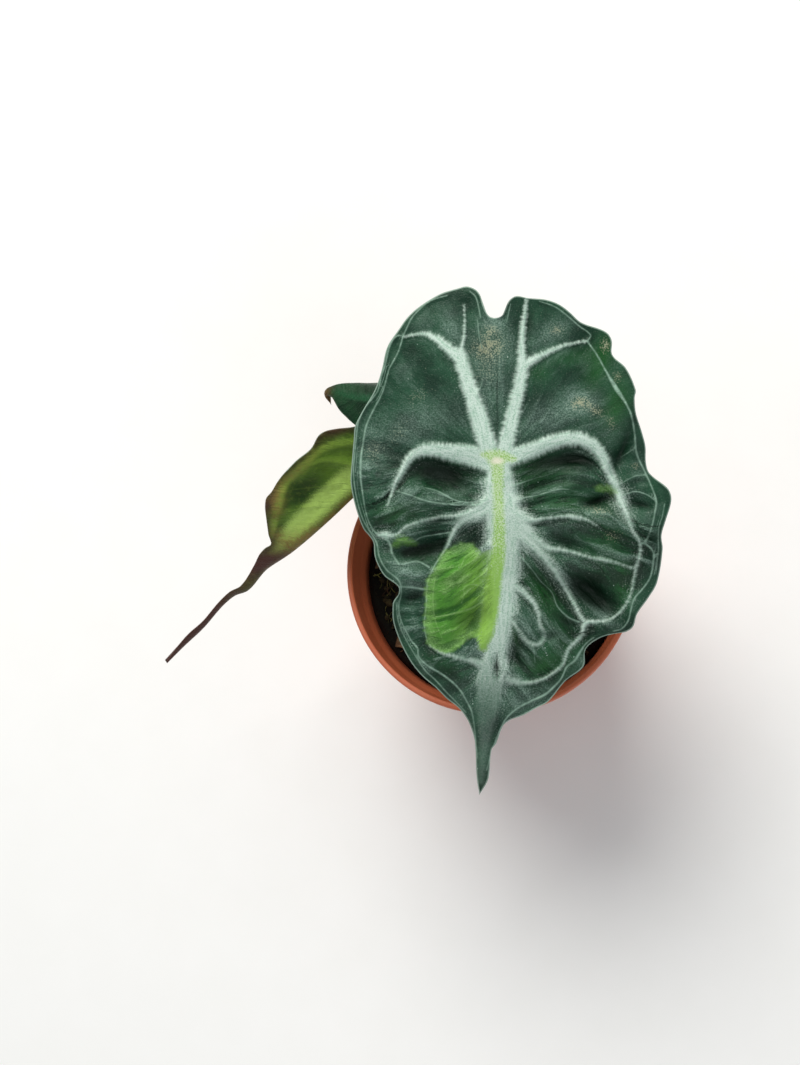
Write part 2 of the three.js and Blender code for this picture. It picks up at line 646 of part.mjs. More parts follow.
const mainCut = toSolid(bladeGeometry(MAIN_PATTERN, mainPlace(GAP)));
const leftCut = toSolid(bladeGeometry(LEFT_LEAF.pattern, foldedPlace(LEFT_LEAF, GAP)));
const backCut = toSolid(bladeGeometry(BACK_LEAF.pattern, foldedPlace(BACK_LEAF, GAP)));

// Each older stem is hollowed where it clasps the younger ones beside it.
const stems = {
  petiole_left: buildStem(LEFT_STEM, [], leftCut),
  petiole_main: buildStem(MAIN_STEM, [LEFT_STEM], mainCut),
  petiole_back: buildStem(BACK_STEM, [MAIN_STEM, LEFT_STEM], backCut),
};
for (const [name, solid] of Object.entries(stems)) {
  addPiece(name, toGeometry(solid), COLOURS.stem, 0.5);
}

export default plant;
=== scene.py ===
# Potted venom aurea alocasia: the finished look of a young aroid with three blades in a pot.
# Lengths are millimetres, and become metres where a mesh is made. A leaf is drawn flat as a
# pattern, (across, along), with its stem joint at (0, 0), the drip tip at negative "along" and
# the notch between the two rear lobes at positive "along".

import math
import random
from functools import partial

import bpy
import numpy as np
from mathutils import Matrix, Vector
from mathutils import noise as mathutils_noise


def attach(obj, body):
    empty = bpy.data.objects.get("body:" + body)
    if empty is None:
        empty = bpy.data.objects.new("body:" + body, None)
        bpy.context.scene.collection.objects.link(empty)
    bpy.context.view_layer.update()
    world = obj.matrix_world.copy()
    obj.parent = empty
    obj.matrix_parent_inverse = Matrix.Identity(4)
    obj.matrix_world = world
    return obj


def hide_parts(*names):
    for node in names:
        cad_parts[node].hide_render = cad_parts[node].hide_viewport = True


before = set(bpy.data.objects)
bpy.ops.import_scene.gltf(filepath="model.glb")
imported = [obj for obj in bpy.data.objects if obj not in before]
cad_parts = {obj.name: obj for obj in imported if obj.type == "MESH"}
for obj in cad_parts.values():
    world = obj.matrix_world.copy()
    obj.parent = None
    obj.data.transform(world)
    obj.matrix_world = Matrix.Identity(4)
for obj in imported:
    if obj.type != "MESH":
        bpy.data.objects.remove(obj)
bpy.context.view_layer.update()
MM = 0.001

# ---- Lines and patterns


def smooth_line(points, steps=4, places=2):
    """A smooth curve through the points; further columns, such as a width, go along with it."""
    points = np.asarray(points, float)
    chords = np.gradient(points, axis=0)
    chords /= np.linalg.norm(chords[:, :places], axis=1)[:, None]
    share = np.linspace(0, 1, steps, endpoint=False)[:, None]
    pieces = []
    for start, end, leave, arrive in zip(points, points[1:], chords, chords[1:]):
        length = np.linalg.norm((end - start)[:places])
        pieces.append(
            start * (2 * share**3 - 3 * share**2 + 1)
            + end * (3 * share**2 - 2 * share**3)
            + leave * length * (share**3 - 2 * share**2 + share)
            + arrive * length * (share**3 - share**2)
        )
    return np.vstack(pieces + [points[-1:]])


def travelled(line, places=2):
    """The distance walked from a line's start to each of its points."""
    steps = np.linalg.norm(np.diff(line[:, :places], axis=0), axis=1)
    return np.concatenate([[0], np.cumsum(steps)])


def beside(lines, points):
    """How each point lies to the nearest of some lines, whose third column is a half-width.

    Returns the distance to the band's edge, then columns: the offset from the line's middle
    (two), the distance walked along it, the signed distance across it, the share walked and
    the line's half-width there."""
    edge = np.full(len(points), 1e3)
    place = np.zeros((len(points), 6))
    for number, line in enumerate(lines):
        walked = travelled(line)
        for index in range(len(line) - 1):
            start, step = line[index, :2], line[index + 1, :2] - line[index, :2]
            length = math.hypot(*step)
            if length < 1e-6:
                continue
            share = np.clip((points - start) @ step / length**2, 0, 1)
            offset = points - start - share[:, None] * step
            distance = np.hypot(offset[:, 0], offset[:, 1])
            width = line[index, 2] + (line[index + 1, 2] - line[index, 2]) * share
            nearer = distance - width < edge
            edge[nearer] = (distance - width)[nearer]
            side = np.sign(step[0] * offset[:, 1] - step[1] * offset[:, 0])
            along = walked[index] + share * length
            columns = [offset[:, 0], offset[:, 1], along + 61 * number, side * distance,
                       along / walked[-1], width]
            place[nearer] = np.stack(columns, axis=1)[nearer]
    return edge, place


def spots(rows, points):
    """Soft oval spots: centre across, centre along, half-length, half-width, turn, strength."""
    total = np.zeros(len(points))
    for across, along, length, width, turn, strength in rows:
        angle = math.radians(turn)
        dx, dy = points[:, 0] - across, points[:, 1] - along
        u = (dx * math.cos(angle) + dy * math.sin(angle)) / length
        v = (dy * math.cos(angle) - dx * math.sin(angle)) / width
        total += strength * np.exp(-(u * u + v * v))
    return total


def smoothstep(value, low, high):
    share = np.clip((value - low) / (high - low), 0, 1)
    return share * share * (3 - 2 * share)


FAN_POWER = 1.6


def leaf_net(pattern):
    """A net of rows from the left margin over the midrib to the right margin.

    Below the stem joint a row is level; above it the rows fan round the lobes to the notch."""
    spine = np.array(pattern["spine"], float)
    low_rows, lobe_rows, columns = pattern["low_rows"], pattern["lobe_rows"], pattern["columns"]
    tip, notch = spine[0, 1], spine[-1, 1]
    row = np.arange(low_rows + lobe_rows + 1)
    fan = np.clip((row - low_rows) / lobe_rows, 0, 1)
    foot = np.where(row <= low_rows, tip * (1 - row / low_rows), notch * fan**FAN_POWER)
    middle = np.stack([np.interp(foot, spine[:, 1], spine[:, 0]), foot], axis=1)
    ends = []
    for side in ("left", "right"):
        margin = smooth_line(pattern[side], steps=8)
        first = int(np.argmax(margin[:, 1] > 0))
        low = margin[: first + 1].copy()
        low[:, 1] = np.maximum.accumulate(low[:, 1])
        start = [np.interp(0, low[:, 1], low[:, 0]), 0]
        lobe = np.vstack([start, margin[first:]])
        walked = travelled(lobe)
        share = fan * walked[-1]
        level = np.stack([np.interp(foot, low[:, 1], low[:, 0]), foot], axis=1)
        fanned = np.stack([np.interp(share, walked, lobe[:, k]) for k in (0, 1)], axis=1)
        ends.append(np.where((row <= low_rows)[:, None], level, fanned))
    column = np.arange(-columns, columns + 1)
    edge = np.abs(column) / columns
    end = np.where(column[None, :, None] < 0, ends[0][:, None], ends[1][:, None])
    net = middle[:, None] + (end - middle[:, None]) * edge[None, :, None]
    return net, np.broadcast_to(edge, net.shape[:2])


# ---- Meshes


def deselect():
    if bpy.context.object and bpy.context.object.mode != "OBJECT":
        bpy.ops.object.mode_set(mode="OBJECT")
    bpy.ops.object.select_all(action="DESELECT")


def get_points(mesh):
    points = np.empty(len(mesh.vertices) * 3)
    mesh.vertices.foreach_get("co", points)
    return points.reshape(-1, 3) / MM


def set_points(mesh, points):
    mesh.vertices.foreach_set("co", (points * MM).ravel())
    mesh.update()


def set_attribute(mesh, name, values):
    kind = "FLOAT" if values.ndim == 1 else "FLOAT_VECTOR"
    data = mesh.attributes.new(name, kind, "POINT").data
    data.foreach_set("value" if kind == "FLOAT" else "vector", np.ascontiguousarray(values).ravel())


def get_attribute(mesh, name):
    values = np.empty(len(mesh.vertices))
    mesh.attributes[name].data.foreach_get("value", values)
    return values


def finish_piece(piece, name, material, nodes):
    """Names a piece, sets its material, puts it under the root body and hides its CAD nodes."""
    piece.name = name
    piece.data.name = name
    piece.data.materials.clear()
    piece.data.materials.append(material)
    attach(piece, "root")
    if nodes:
        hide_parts(*nodes)
    deselect()


def cut_leaf(name, pattern):
    """Cuts a leaf flat from a grid and thickens it to a plate, ready to be shaped.

    Returns the object, the pattern point of each vertex of the upper face and its edge share.
    The lower face's vertices follow in the same order."""
    net, edge = leaf_net(pattern)
    rows, columns = net.shape[:2]
    deselect()
    bpy.ops.mesh.primitive_grid_add(x_subdivisions=columns - 1, y_subdivisions=rows - 1, size=2)
    leaf = bpy.context.object
    leaf.name = name
    mesh = leaf.data
    grid = get_points(mesh) * MM
    column = np.rint((grid[:, 0] + 1) / 2 * (columns - 1)).astype(int)
    row = np.rint((grid[:, 1] + 1) / 2 * (rows - 1)).astype(int)
    flat = np.zeros((len(grid), 3))
    flat[:, :2] = net[row, column]
    set_points(mesh, flat)
    set_attribute(mesh, "edge", edge[row, column])
    bpy.ops.object.mode_set(mode="EDIT")
    bpy.ops.mesh.select_all(action="SELECT")
    bpy.ops.mesh.remove_doubles(threshold=1e-8)
    bpy.ops.object.mode_set(mode="OBJECT")
    plate = leaf.modifiers.new("plate", "SOLIDIFY")
    plate.thickness = 1 * MM
    plate.offset = -1
    bpy.ops.object.modifier_apply(modifier=plate.name)
    count = len(mesh.vertices) // 2
    bpy.ops.object.shade_smooth()
    return leaf, get_points(mesh)[:count, :2], get_attribute(mesh, "edge")[:count]


def shape_leaf(leaf, top, bottom, fields, below=None):
    """Moves a flat leaf's two faces into place and keeps its drawn fields as attributes; below
    holds the fields that the lower face has otherwise."""
    mesh = leaf.data
    set_points(mesh, np.vstack([top, bottom]))
    fields = {**fields, "under": np.zeros(len(top))}
    below = {"under": np.ones(len(top)), **(below or {})}
    for name, values in fields.items():
        set_attribute(mesh, name, np.concatenate([values, below.get(name, values)]))


# ---- Materials


def srgb(colour):
    """Linear RGBA of an sRGB hex colour."""
    channels = [int(colour[i:i + 2], 16) / 255 for i in (1, 3, 5)]
    linear = [c / 12.92 if c <= 0.04045 else ((c + 0.055) / 1.055) ** 2.4 for c in channels]
    return (*linear, 1.0)


def add_node(tree, kind, inputs=None, **settings):
    """Adds a shader node. A value in inputs is a number, a colour, a socket, or a node, whose
    first output in use is then linked."""
    node = tree.nodes.new("ShaderNode" + kind)
    for name, value in settings.items():
        setattr(node, name, value)
    for socket, value in (inputs or {}).items():
        if isinstance(value, bpy.types.Node):
            value = next(output for output in value.outputs if output.enabled)
        if isinstance(value, bpy.types.NodeSocket):
            tree.links.new(value, node.inputs[socket])
        elif isinstance(value, str):
            node.inputs[socket].default_value = srgb(value)
        else:
            node.inputs[socket].default_value = value
    return node


def new_material(name, sockets):
    """A material with one principled shader, whose constants are set on its own sockets."""
    material = bpy.data.materials.new(name)
    material.use_nodes = True
    tree = material.node_tree
    tree.nodes.clear()
    shader = add_node(tree, "BsdfPrincipled", sockets)
    add_node(tree, "OutputMaterial", {"Surface": shader})
    return material, tree, shader


def paint(tree, shader, colour, roughness, height, depth):
    """Links a colour, a roughness and a bump of the given depth in millimetres to a shader."""
    bump = add_node(tree, "Bump", {"Height": height, "Distance": depth * MM, "Strength": 1.0})
    tree.links.new(next(o for o in colour.outputs if o.enabled), shader.inputs["Base Color"])
    tree.links.new(next(o for o in roughness.outputs if o.enabled), shader.inputs["Roughness"])
    tree.links.new(bump.outputs["Normal"], shader.inputs["Normal"])


SOFT = {"interpolation_type": "SMOOTHSTEP"}
RGBA = {"data_type": "RGBA"}


def leaf_material(name, palette):
    """Living aroid leaf: a waxy skin over soft tissue gives a broad satin highlight, and bands
    of air-filled cells along the veins show silver. Drawn fields steer where each lies."""
    material, tree, shader = new_material(
        name, sockets={"IOR": 1.45, "Specular IOR Level": 0.24})
    node = partial(add_node, tree)
    drawn = {key: node("Attribute", attribute_name=key).outputs["Fac"] for key in (
        "band", "aurea", "core", "hub", "margin", "silver", "haze", "furrow", "pleat", "hollow",
        "line_width", "under", "dry")}
    place = {key: node("Attribute", attribute_name=key).outputs["Vector"]
             for key in ("flat", "grain", "flow", "tone", "line")}
    # tone: pale frosty grey with painted sheen, scuffs, and greener spots
    bloom_and_sheen, scuffed, warm = node("SeparateXYZ", {0: place["tone"]}).outputs

    # Mottling at 9 mm and 1.6 mm, the skin's raised cells at 0.4 mm, and the fine pleats that
    # run out with the side veins, 1 mm apart
    broad = node("TexNoise", {"Vector": place["flat"], "Scale": 1 / 9, "Detail": 4})
    fine = node("TexNoise", {"Vector": place["flat"], "Scale": 1 / 1.6, "Detail": 4,
                             "Roughness": 0.65})
    cells = node("TexNoise", {"Vector": place["flat"], "Scale": 1 / 0.4, "Detail": 2,
                              "Roughness": 0.6})
    pleats = node("TexNoise", {"Vector": place["flow"], "Scale": 1, "Detail": 4,
                               "Roughness": 0.62, "Distortion": 0.4})
    pleats = node("Math", {0: drawn["pleat"], 1: 0.3, 2: pleats}, operation="MULTIPLY_ADD")
    # crest and trough: the pleats' ridges and valleys, for the bump and for painted highlight and
    # shade
    crest = node("MapRange", {"Value": pleats, 1: 0.5, 2: 0.72}, **SOFT)
    crest = node("Math", {0: crest, 1: drawn["furrow"]}, operation="MULTIPLY")
    trough = node("MapRange", {"Value": pleats, 1: 0.5, 2: 0.3}, **SOFT)
    trough = node("Math", {0: trough, 1: drawn["furrow"]}, operation="MULTIPLY")
    stipple = node("MapRange", {"Value": cells, 1: 0.35, 2: 0.65, 3: 0.35, 4: 1}, **SOFT)

    # Lamina: mottling, greener spots, and painted shade and highlight on the pleats
    share = node("MapRange", {"Value": broad, 1: 0.35, 2: 0.65}, **SOFT)
    lamina = node("Mix", {0: share, 6: palette["deep"], 7: palette["green"]}, **RGBA)
    share = node("Math", {0: warm, 1: 0.85}, operation="MULTIPLY")
    lamina = node("Mix", {0: share, 6: lamina, 7: palette["warm"]}, **RGBA)
    # Painted shade in the pleat troughs
    share = node("Math", {0: trough, 1: 0.7}, operation="MULTIPLY")
    lamina = node("Mix", {0: share, 6: lamina, 7: palette["crease_shade"]}, **RGBA)
    frost = node("MapRange", {"Value": fine, 1: 0.25, 2: 0.75, 3: 0.45, 4: 1}, **SOFT)
    share = node("MapRange", {"Value": broad, 1: 0.3, 2: 0.8, 4: 0.2})
    share = node("Math", {0: share, 1: bloom_and_sheen}, operation="ADD")
    frost = node("Math", {0: frost, 1: share}, operation="MULTIPLY")
    # Painted highlight on the pleat crests
    frost = node("Math", {0: crest, 1: 0.75, 2: frost}, operation="MULTIPLY_ADD")
    frost = node("Math", {0: frost, 1: stipple}, operation="MULTIPLY")
    share = node("Math", {0: warm, 1: -0.6, 2: 1}, operation="MULTIPLY_ADD")
    frost = node("Math", {0: frost, 1: share}, operation="MULTIPLY")
    lamina = node("Mix", {0: frost, 6: lamina, 7: palette["bloom_and_sheen"]}, **RGBA)

    # Lime patch, where the leaf lacks its blue-green layer: lighter towards the midrib, with a
    # border that is ragged by 1.5 mm
    ragged = node("Math", {0: fine, 1: 2.6, 2: drawn["aurea"]}, operation="MULTIPLY_ADD")
    ragged = node("Math", {0: pleats, 1: 2.4, 2: ragged}, operation="MULTIPLY_ADD")
    patch = node("MapRange", {"Value": ragged, 1: 3.4, 2: 1.7}, **SOFT)
    share = node("MapRange", {"Value": drawn["core"], 1: 8, 2: 0})
    lime = node("Mix", {0: share, 6: palette["aurea"], 7: palette["aurea_bright"]}, **RGBA)
    # Painted shade in the pleat troughs and a painted highlight on their crests
    share = node("MapRange", {"Value": pleats, 1: 0.5, 2: 0.28, 4: 0.8}, **SOFT)
    lime = node("Mix", {0: share, 6: lime, 7: palette["aurea_trough_shade"]}, **RGBA)
    share = node("MapRange", {"Value": pleats, 1: 0.5, 2: 0.75, 4: 0.75}, **SOFT)
    share = node("Math", {0: share, 1: stipple}, operation="MULTIPLY")
    lime = node("Mix", {0: share, 6: lime, 7: palette["aurea_pale"]}, **RGBA)
    share = node("MapRange", {"Value": drawn["aurea"], 1: -3.5, 2: 0, 4: 0.5}, **SOFT)
    share = node("Math", {0: share, 1: stipple}, operation="MULTIPLY")
    lime = node("Mix", {0: share, 6: lime, 7: palette["aurea_pale"]}, **RGBA)
    lamina = node("Mix", {0: patch, 6: lamina, 7: lime}, **RGBA)

    # Silver bands: hairs 0.7 mm apart fray their edges, and beyond them the silver thins out
    # in a stipple of single cells
    across = node("Mapping", {"Vector": place["grain"], "Scale": (1.5, 0.35, 1)})
    along = node("Mapping", {"Vector": place["grain"], "Scale": (0.3, 1.6, 1)})
    hairs = node("TexNoise", {"Vector": across, "Scale": 1, "Detail": 3, "Roughness": 0.6})
    fibres = node("TexNoise", {"Vector": along, "Scale": 1, "Detail": 4, "Roughness": 0.6})
    frayed = node("Math", {0: hairs, 1: 2.4, 2: drawn["band"]}, operation="MULTIPLY_ADD")
    frayed = node("Math", {0: cells, 1: 1.0, 2: frayed}, operation="MULTIPLY_ADD")
    band = node("MapRange", {"Value": frayed, 1: 2.45, 2: 0.75}, **SOFT)
    band = node("Math", {0: band, 1: drawn["silver"]}, operation="MULTIPLY")
    veil = node("Math", {0: cells, 1: 0.7, 2: drawn["haze"]}, operation="MULTIPLY_ADD")
    veil = node("Math", {0: fibres, 1: 0.6, 2: veil}, operation="MULTIPLY_ADD")
    veil = node("MapRange", {"Value": veil, 1: 0.75, 2: 1.45, 4: 0.85}, **SOFT)
    band = node("Math", {0: band, 1: veil}, operation="MAXIMUM")
    share = node("Math", {0: cells, 1: fibres}, operation="ADD")
    share = node("MapRange", {"Value": share, 1: 0.75, 2: 1.15}, **SOFT)
    silver = node("Mix", {0: share, 6: palette["silver_shade"], 7: palette["silver"]}, **RGBA)
    share = node("Math", {0: patch, 1: 0.75}, operation="MULTIPLY")
    silver = node("Mix", {0: share, 6: silver, 7: palette["aurea_pale"]}, **RGBA)
    colour = node("Mix", {0: band, 6: lamina, 7: silver}, **RGBA)

    # Thin veins, 0.3 to 0.8 mm wide
    reach = node("VectorMath", {0: place["line"], 1: (1, 1, 0)}, operation="MULTIPLY")
    reach = node("VectorMath", {0: reach}, operation="LENGTH").outputs["Value"]
    away = node("Math", {0: reach, 1: drawn["line_width"]}, operation="SUBTRACT")
    guard = node("SeparateXYZ", {0: place["line"]}).outputs["Z"]
    guard = node("Math", {0: guard, 1: 0.4}, operation="SUBTRACT")
    away = node("Math", {0: away, 1: guard}, operation="MAXIMUM")
    away = node("Math", {0: cells, 1: 0.5, 2: away}, operation="MULTIPLY_ADD")
    vein = node("MapRange", {"Value": away, 1: 0.4, 2: -0.15, 4: 0.9}, **SOFT)
    share = node("MapRange", {"Value": fine, 1: 0.3, 2: 0.65, 3: 0.4, 4: 0.9}, **SOFT)
    vein = node("Math", {0: vein, 1: share}, operation="MULTIPLY")
    shade = node("Mix", {0: patch, 6: palette["silver_shade"], 7: palette["aurea_pale"]}, **RGBA)
    colour = node("Mix", {0: vein, 6: colour, 7: shade}, **RGBA)

    # A pale thread on the margin itself
    share = node("MapRange", {"Value": drawn["margin"], 1: 0.4, 2: 0.1, 4: 0.7}, **SOFT)
    colour = node("Mix", {0: share, 6: colour, 7: palette["edge"]}, **RGBA)

    # Lime core of the midrib and the star at the stem joint
    ragged = node("Math", {0: fine, 1: 1.2, 2: drawn["core"]}, operation="MULTIPLY_ADD")
    ragged = node("Math", {0: cells, 1: 0.9, 2: ragged}, operation="MULTIPLY_ADD")
    core = node("MapRange", {"Value": ragged, 1: 2.0, 2: 0.55, 4: 0.95}, **SOFT)
    share = node("Math", {0: fibres, 1: stipple}, operation="MULTIPLY")
    low = node("SeparateXYZ", {0: place["flat"]}).outputs["Y"]
    low = node("MapRange", {"Value": low, 1: -38, 2: -12, 3: 0.1, 4: 1.15})
    share = node("Math", {0: share, 1: low}, operation="MULTIPLY")
    share = node("MapRange", {"Value": share, 1: 0.15, 2: 0.5}, **SOFT)
    shade = node("Mix", {0: share, 6: palette["lime"], 7: palette["lime_pale"]}, **RGBA)
    colour = node("Mix", {0: core, 6: colour, 7: shade}, **RGBA)
    ragged = node("Math", {0: fine, 1: 0.8, 2: drawn["hub"]}, operation="MULTIPLY_ADD")
    share = node("MapRange", {"Value": ragged, 1: 1.1, 2: 0, 4: 0.85}, **SOFT)
    colour = node("Mix", {0: share, 6: colour, 7: palette["cream"]}, **RGBA)

    # Old scuffs, stippled grey to olive, and a few small white flecks
    share = node("MapRange", {"Value": fine, 1: 0.3, 2: 0.6, 3: 0.35, 4: 1}, **SOFT)
    share = node("Math", {0: share, 1: scuffed}, operation="MULTIPLY")
    share = node("Math", {0: share, 1: 0.5, 2: cells}, operation="MULTIPLY_ADD")
    share = node("MapRange", {"Value": share, 1: 0.62, 2: 1, 4: 0.85}, **SOFT)
    shade = node("Mix", {0: fine, 6: palette["scuff"], 7: palette["scuff_green"]}, **RGBA)
    colour = node("Mix", {0: share, 6: colour, 7: shade}, **RGBA)
    flecks = node("TexVoronoi", {"Vector": place["flat"], "Scale": 0.42, "Randomness": 1})
    share = node("MapRange", {"Value": flecks, 1: 0.075, 2: 0.03, 4: 0.7}, **SOFT)
    flecked = node("MapRange", {"Value": broad, 1: 0.48, 2: 0.6}, **SOFT)
    share = node("Math", {0: share, 1: flecked}, operation="MULTIPLY")
    colour = node("Mix", {0: share, 6: colour, 7: palette["silver"]}, **RGBA)

    # Painted shade: furrows and creases are darkened, because their walls face each other
    share = node("Math", {0: drawn["hollow"], 1: 0.93}, operation="MULTIPLY")
    colour = node("Mix", {0: share, 6: colour, 7: palette["crease_shade"]}, **RGBA)

    # Underside: duller, with the ribs paler than the blade between them
    share = node("MapRange", {"Value": broad, 1: 0.3, 2: 0.7}, **SOFT)
    below = node("Mix", {0: share, 6: palette["under"], 7: palette["under_deep"]}, **RGBA)
    share = node("MapRange", {"Value": fine, 1: 0.5, 2: 0.8, 4: 0.5}, **SOFT)
    below = node("Mix", {0: share, 6: below, 7: palette["under_rib"]}, **RGBA)
    share = node("MapRange", {"Value": drawn["band"], 1: 1.2, 2: -0.6, 4: 0.7}, **SOFT)
    below = node("Mix", {0: share, 6: below, 7: palette["under_rib"]}, **RGBA)
    share = node("Math", {0: vein, 1: 0.4}, operation="MULTIPLY")
    below = node("Mix", {0: share, 6: below, 7: palette["under_rib"]}, **RGBA)
    # Paler where the frosty grey with painted sheen lies
    share = node("Math", {0: fine, 1: 0.6, 2: 0.55}, operation="MULTIPLY_ADD")
    share = node("Math", {0: share, 1: bloom_and_sheen}, operation="MULTIPLY")
    below = node("Mix", {0: share, 6: below, 7: palette["under_pale"]}, **RGBA)
    share = node("MapRange", {"Value": fine, 1: 0.35, 2: 0.6, 3: 0.5, 4: 1}, **SOFT)
    spot = node("Math", {0: share, 1: scuffed}, operation="MULTIPLY")
    below = node("Mix", {0: spot, 6: below, 7: palette["under_spot"]}, **RGBA)
    shade = node("Mix", {0: fine, 6: palette["under_rib"], 7: palette["under_core"]}, **RGBA)
    below = node("Mix", {0: core, 6: below, 7: shade}, **RGBA)
    # Olive-brown where the warm field lies; on the bronze-backed leaf's keel it is painted shade
    share = node("Math", {0: share, 1: warm}, operation="MULTIPLY")
    below = node("Mix", {0: share, 6: below, 7: palette["under_warm_and_shade"]}, **RGBA)
    share = node("Math", {0: fine, 1: 2, 2: drawn["margin"]}, operation="MULTIPLY_ADD")
    share = node("MapRange", {"Value": share, 1: 3.5, 2: 0.8, 4: 0.7}, **SOFT)
    below = node("Mix", {0: share, 6: below, 7: palette["under_edge"]}, **RGBA)
    colour = node("Mix", {0: drawn["under"], 6: colour, 7: below}, **RGBA)
    colour = node("Mix", {0: drawn["dry"], 6: colour, 7: palette["dry"]}, **RGBA)

    rough = node("Math", {0: band, 1: 0.08, 2: 0.36}, operation="MULTIPLY_ADD")
    rough = node("Math", {0: cells, 1: 0.18, 2: rough}, operation="MULTIPLY_ADD")
    rough = node("Math", {0: scuffed, 1: 0.2, 2: rough}, operation="MULTIPLY_ADD")
    relief = node("Math", {0: cells, 1: 0.5, 2: fine}, operation="MULTIPLY_ADD")
    share = node("Math", {0: crest, 1: trough}, operation="SUBTRACT")
    relief = node("Math", {0: share, 1: 1.3, 2: relief}, operation="MULTIPLY_ADD")
    relief = node("Math", {0: vein, 1: 0.6, 2: relief}, operation="MULTIPLY_ADD")
    paint(tree, shader, colour, rough, relief, 0.2)
    return material


# ---- Main blade

MAIN_JOINT = np.array([7.2, 16.5, 130])
MAIN_SCALE = 0.96
MAIN_PITCH = 0.21
MAIN_LIST = 0.05
TIP_DROOP = 15
LOBE_DROOP = 3.5
EDGE_DROOP = 5
VEIN_RELIEF = 0.6
RIB_DEPTH = 0.9
LEAF_THICKNESS = 0.8
MAIN_NORMAL = np.array([0.141, -0.172, 0.975])
# The far point towards which the blade's heights rise, so that they leave its outline as drawn
FAR_POINT = np.array([39, -67.7, 513.2])
MAIN_WAVE = {"turns": 9, "phase": 0.6, "left": 0.9, "right": 1.7}

MAIN_PATTERN = {
    "spine": [
        (-4.4, -83.2), (-3.5, -74.5), (-2.8, -60), (-2.2, -46), (-0.7, -37), (0.3, -29),
        (0.7, -19), (0, -9), (0, 0), (0, 20), (-0.7, 36),
    ],
    "left": [
        (-4.4, -83.2), (-5.1, -78.7), (-5.5, -70.3), (-6.3, -67), (-7.7, -63.9), (-9.7, -61.4),
        (-12.5, -59.2), (-15.3, -56.4), (-18.6, -53.6), (-21.4, -50.2), (-23.6, -46.3),
        (-25, -43), (-26, -39.6), (-26.1, -36.8), (-25.9, -34.9), (-24.6, -32.9),
        (-24.6, -31.3), (-25.9, -30.1), (-28.1, -28.5), (-29.8, -25.7), (-30.6, -23.4),
        (-30.9, -20.1), (-32, -18.4), (-33.4, -16.7), (-35, -12.5), (-36.2, -7.8),
        (-36.6, -4.5), (-36.3, 0), (-35.8, 5.6), (-35.5, 8.9), (-34.2, 11.7), (-32.6, 14.5),
        (-30.9, 17.3), (-29.7, 20.1), (-28.7, 23.5), (-27.4, 28.8), (-24.5, 33.2),
        (-22.5, 36), (-19.7, 38.6), (-14.2, 42), (-9.7, 43.4), (-7.7, 43.9), (-6.1, 43.5),
        (-4.9, 42.7), (-4.1, 41.4), (-3.5, 39.4), (-2.8, 37.6), (-1.9, 36.4), (-0.7, 36),
    ],
    "right": [
        (-4.4, -83.2), (-2.2, -79.2), (-1.4, -72), (-0.2, -70.3), (1.4, -66.1), (3.2, -64.5),
        (6.5, -63.3), (9.9, -61.4), (12.7, -60), (17.1, -54.7), (21.6, -51.1), (22.1, -46.9),
        (24.9, -44.4), (28.3, -43.1), (31.6, -42.7), (33.9, -41.3), (35, -38), (37.8, -34),
        (40, -30.1), (41.4, -21.8), (41.1, -18.4), (42.2, -14.5), (43.4, -10.6),
        (43.5, -8.4), (42.5, -6.4), (38.1, -2.8), (37.2, 0), (37.1, 3.9), (36.1, 7.8),
        (34.7, 12.3), (34.4, 16.2), (34.7, 17.9), (32.2, 23.5), (28.8, 26.8), (28.7, 30.2),
        (27.7, 32.1), (25.8, 33.2), (21, 34.9), (18.2, 37.4), (15.5, 39.4), (12.1, 40.6),
        (7.6, 41), (5, 41.5), (3.6, 40.9), (2.6, 39.7), (2, 38), (1.5, 36.9), (0.6, 36.2),
        (-0.7, 36),
    ],
    "low_rows": 184,
    "lobe_rows": 112,
    "columns": 78,
}

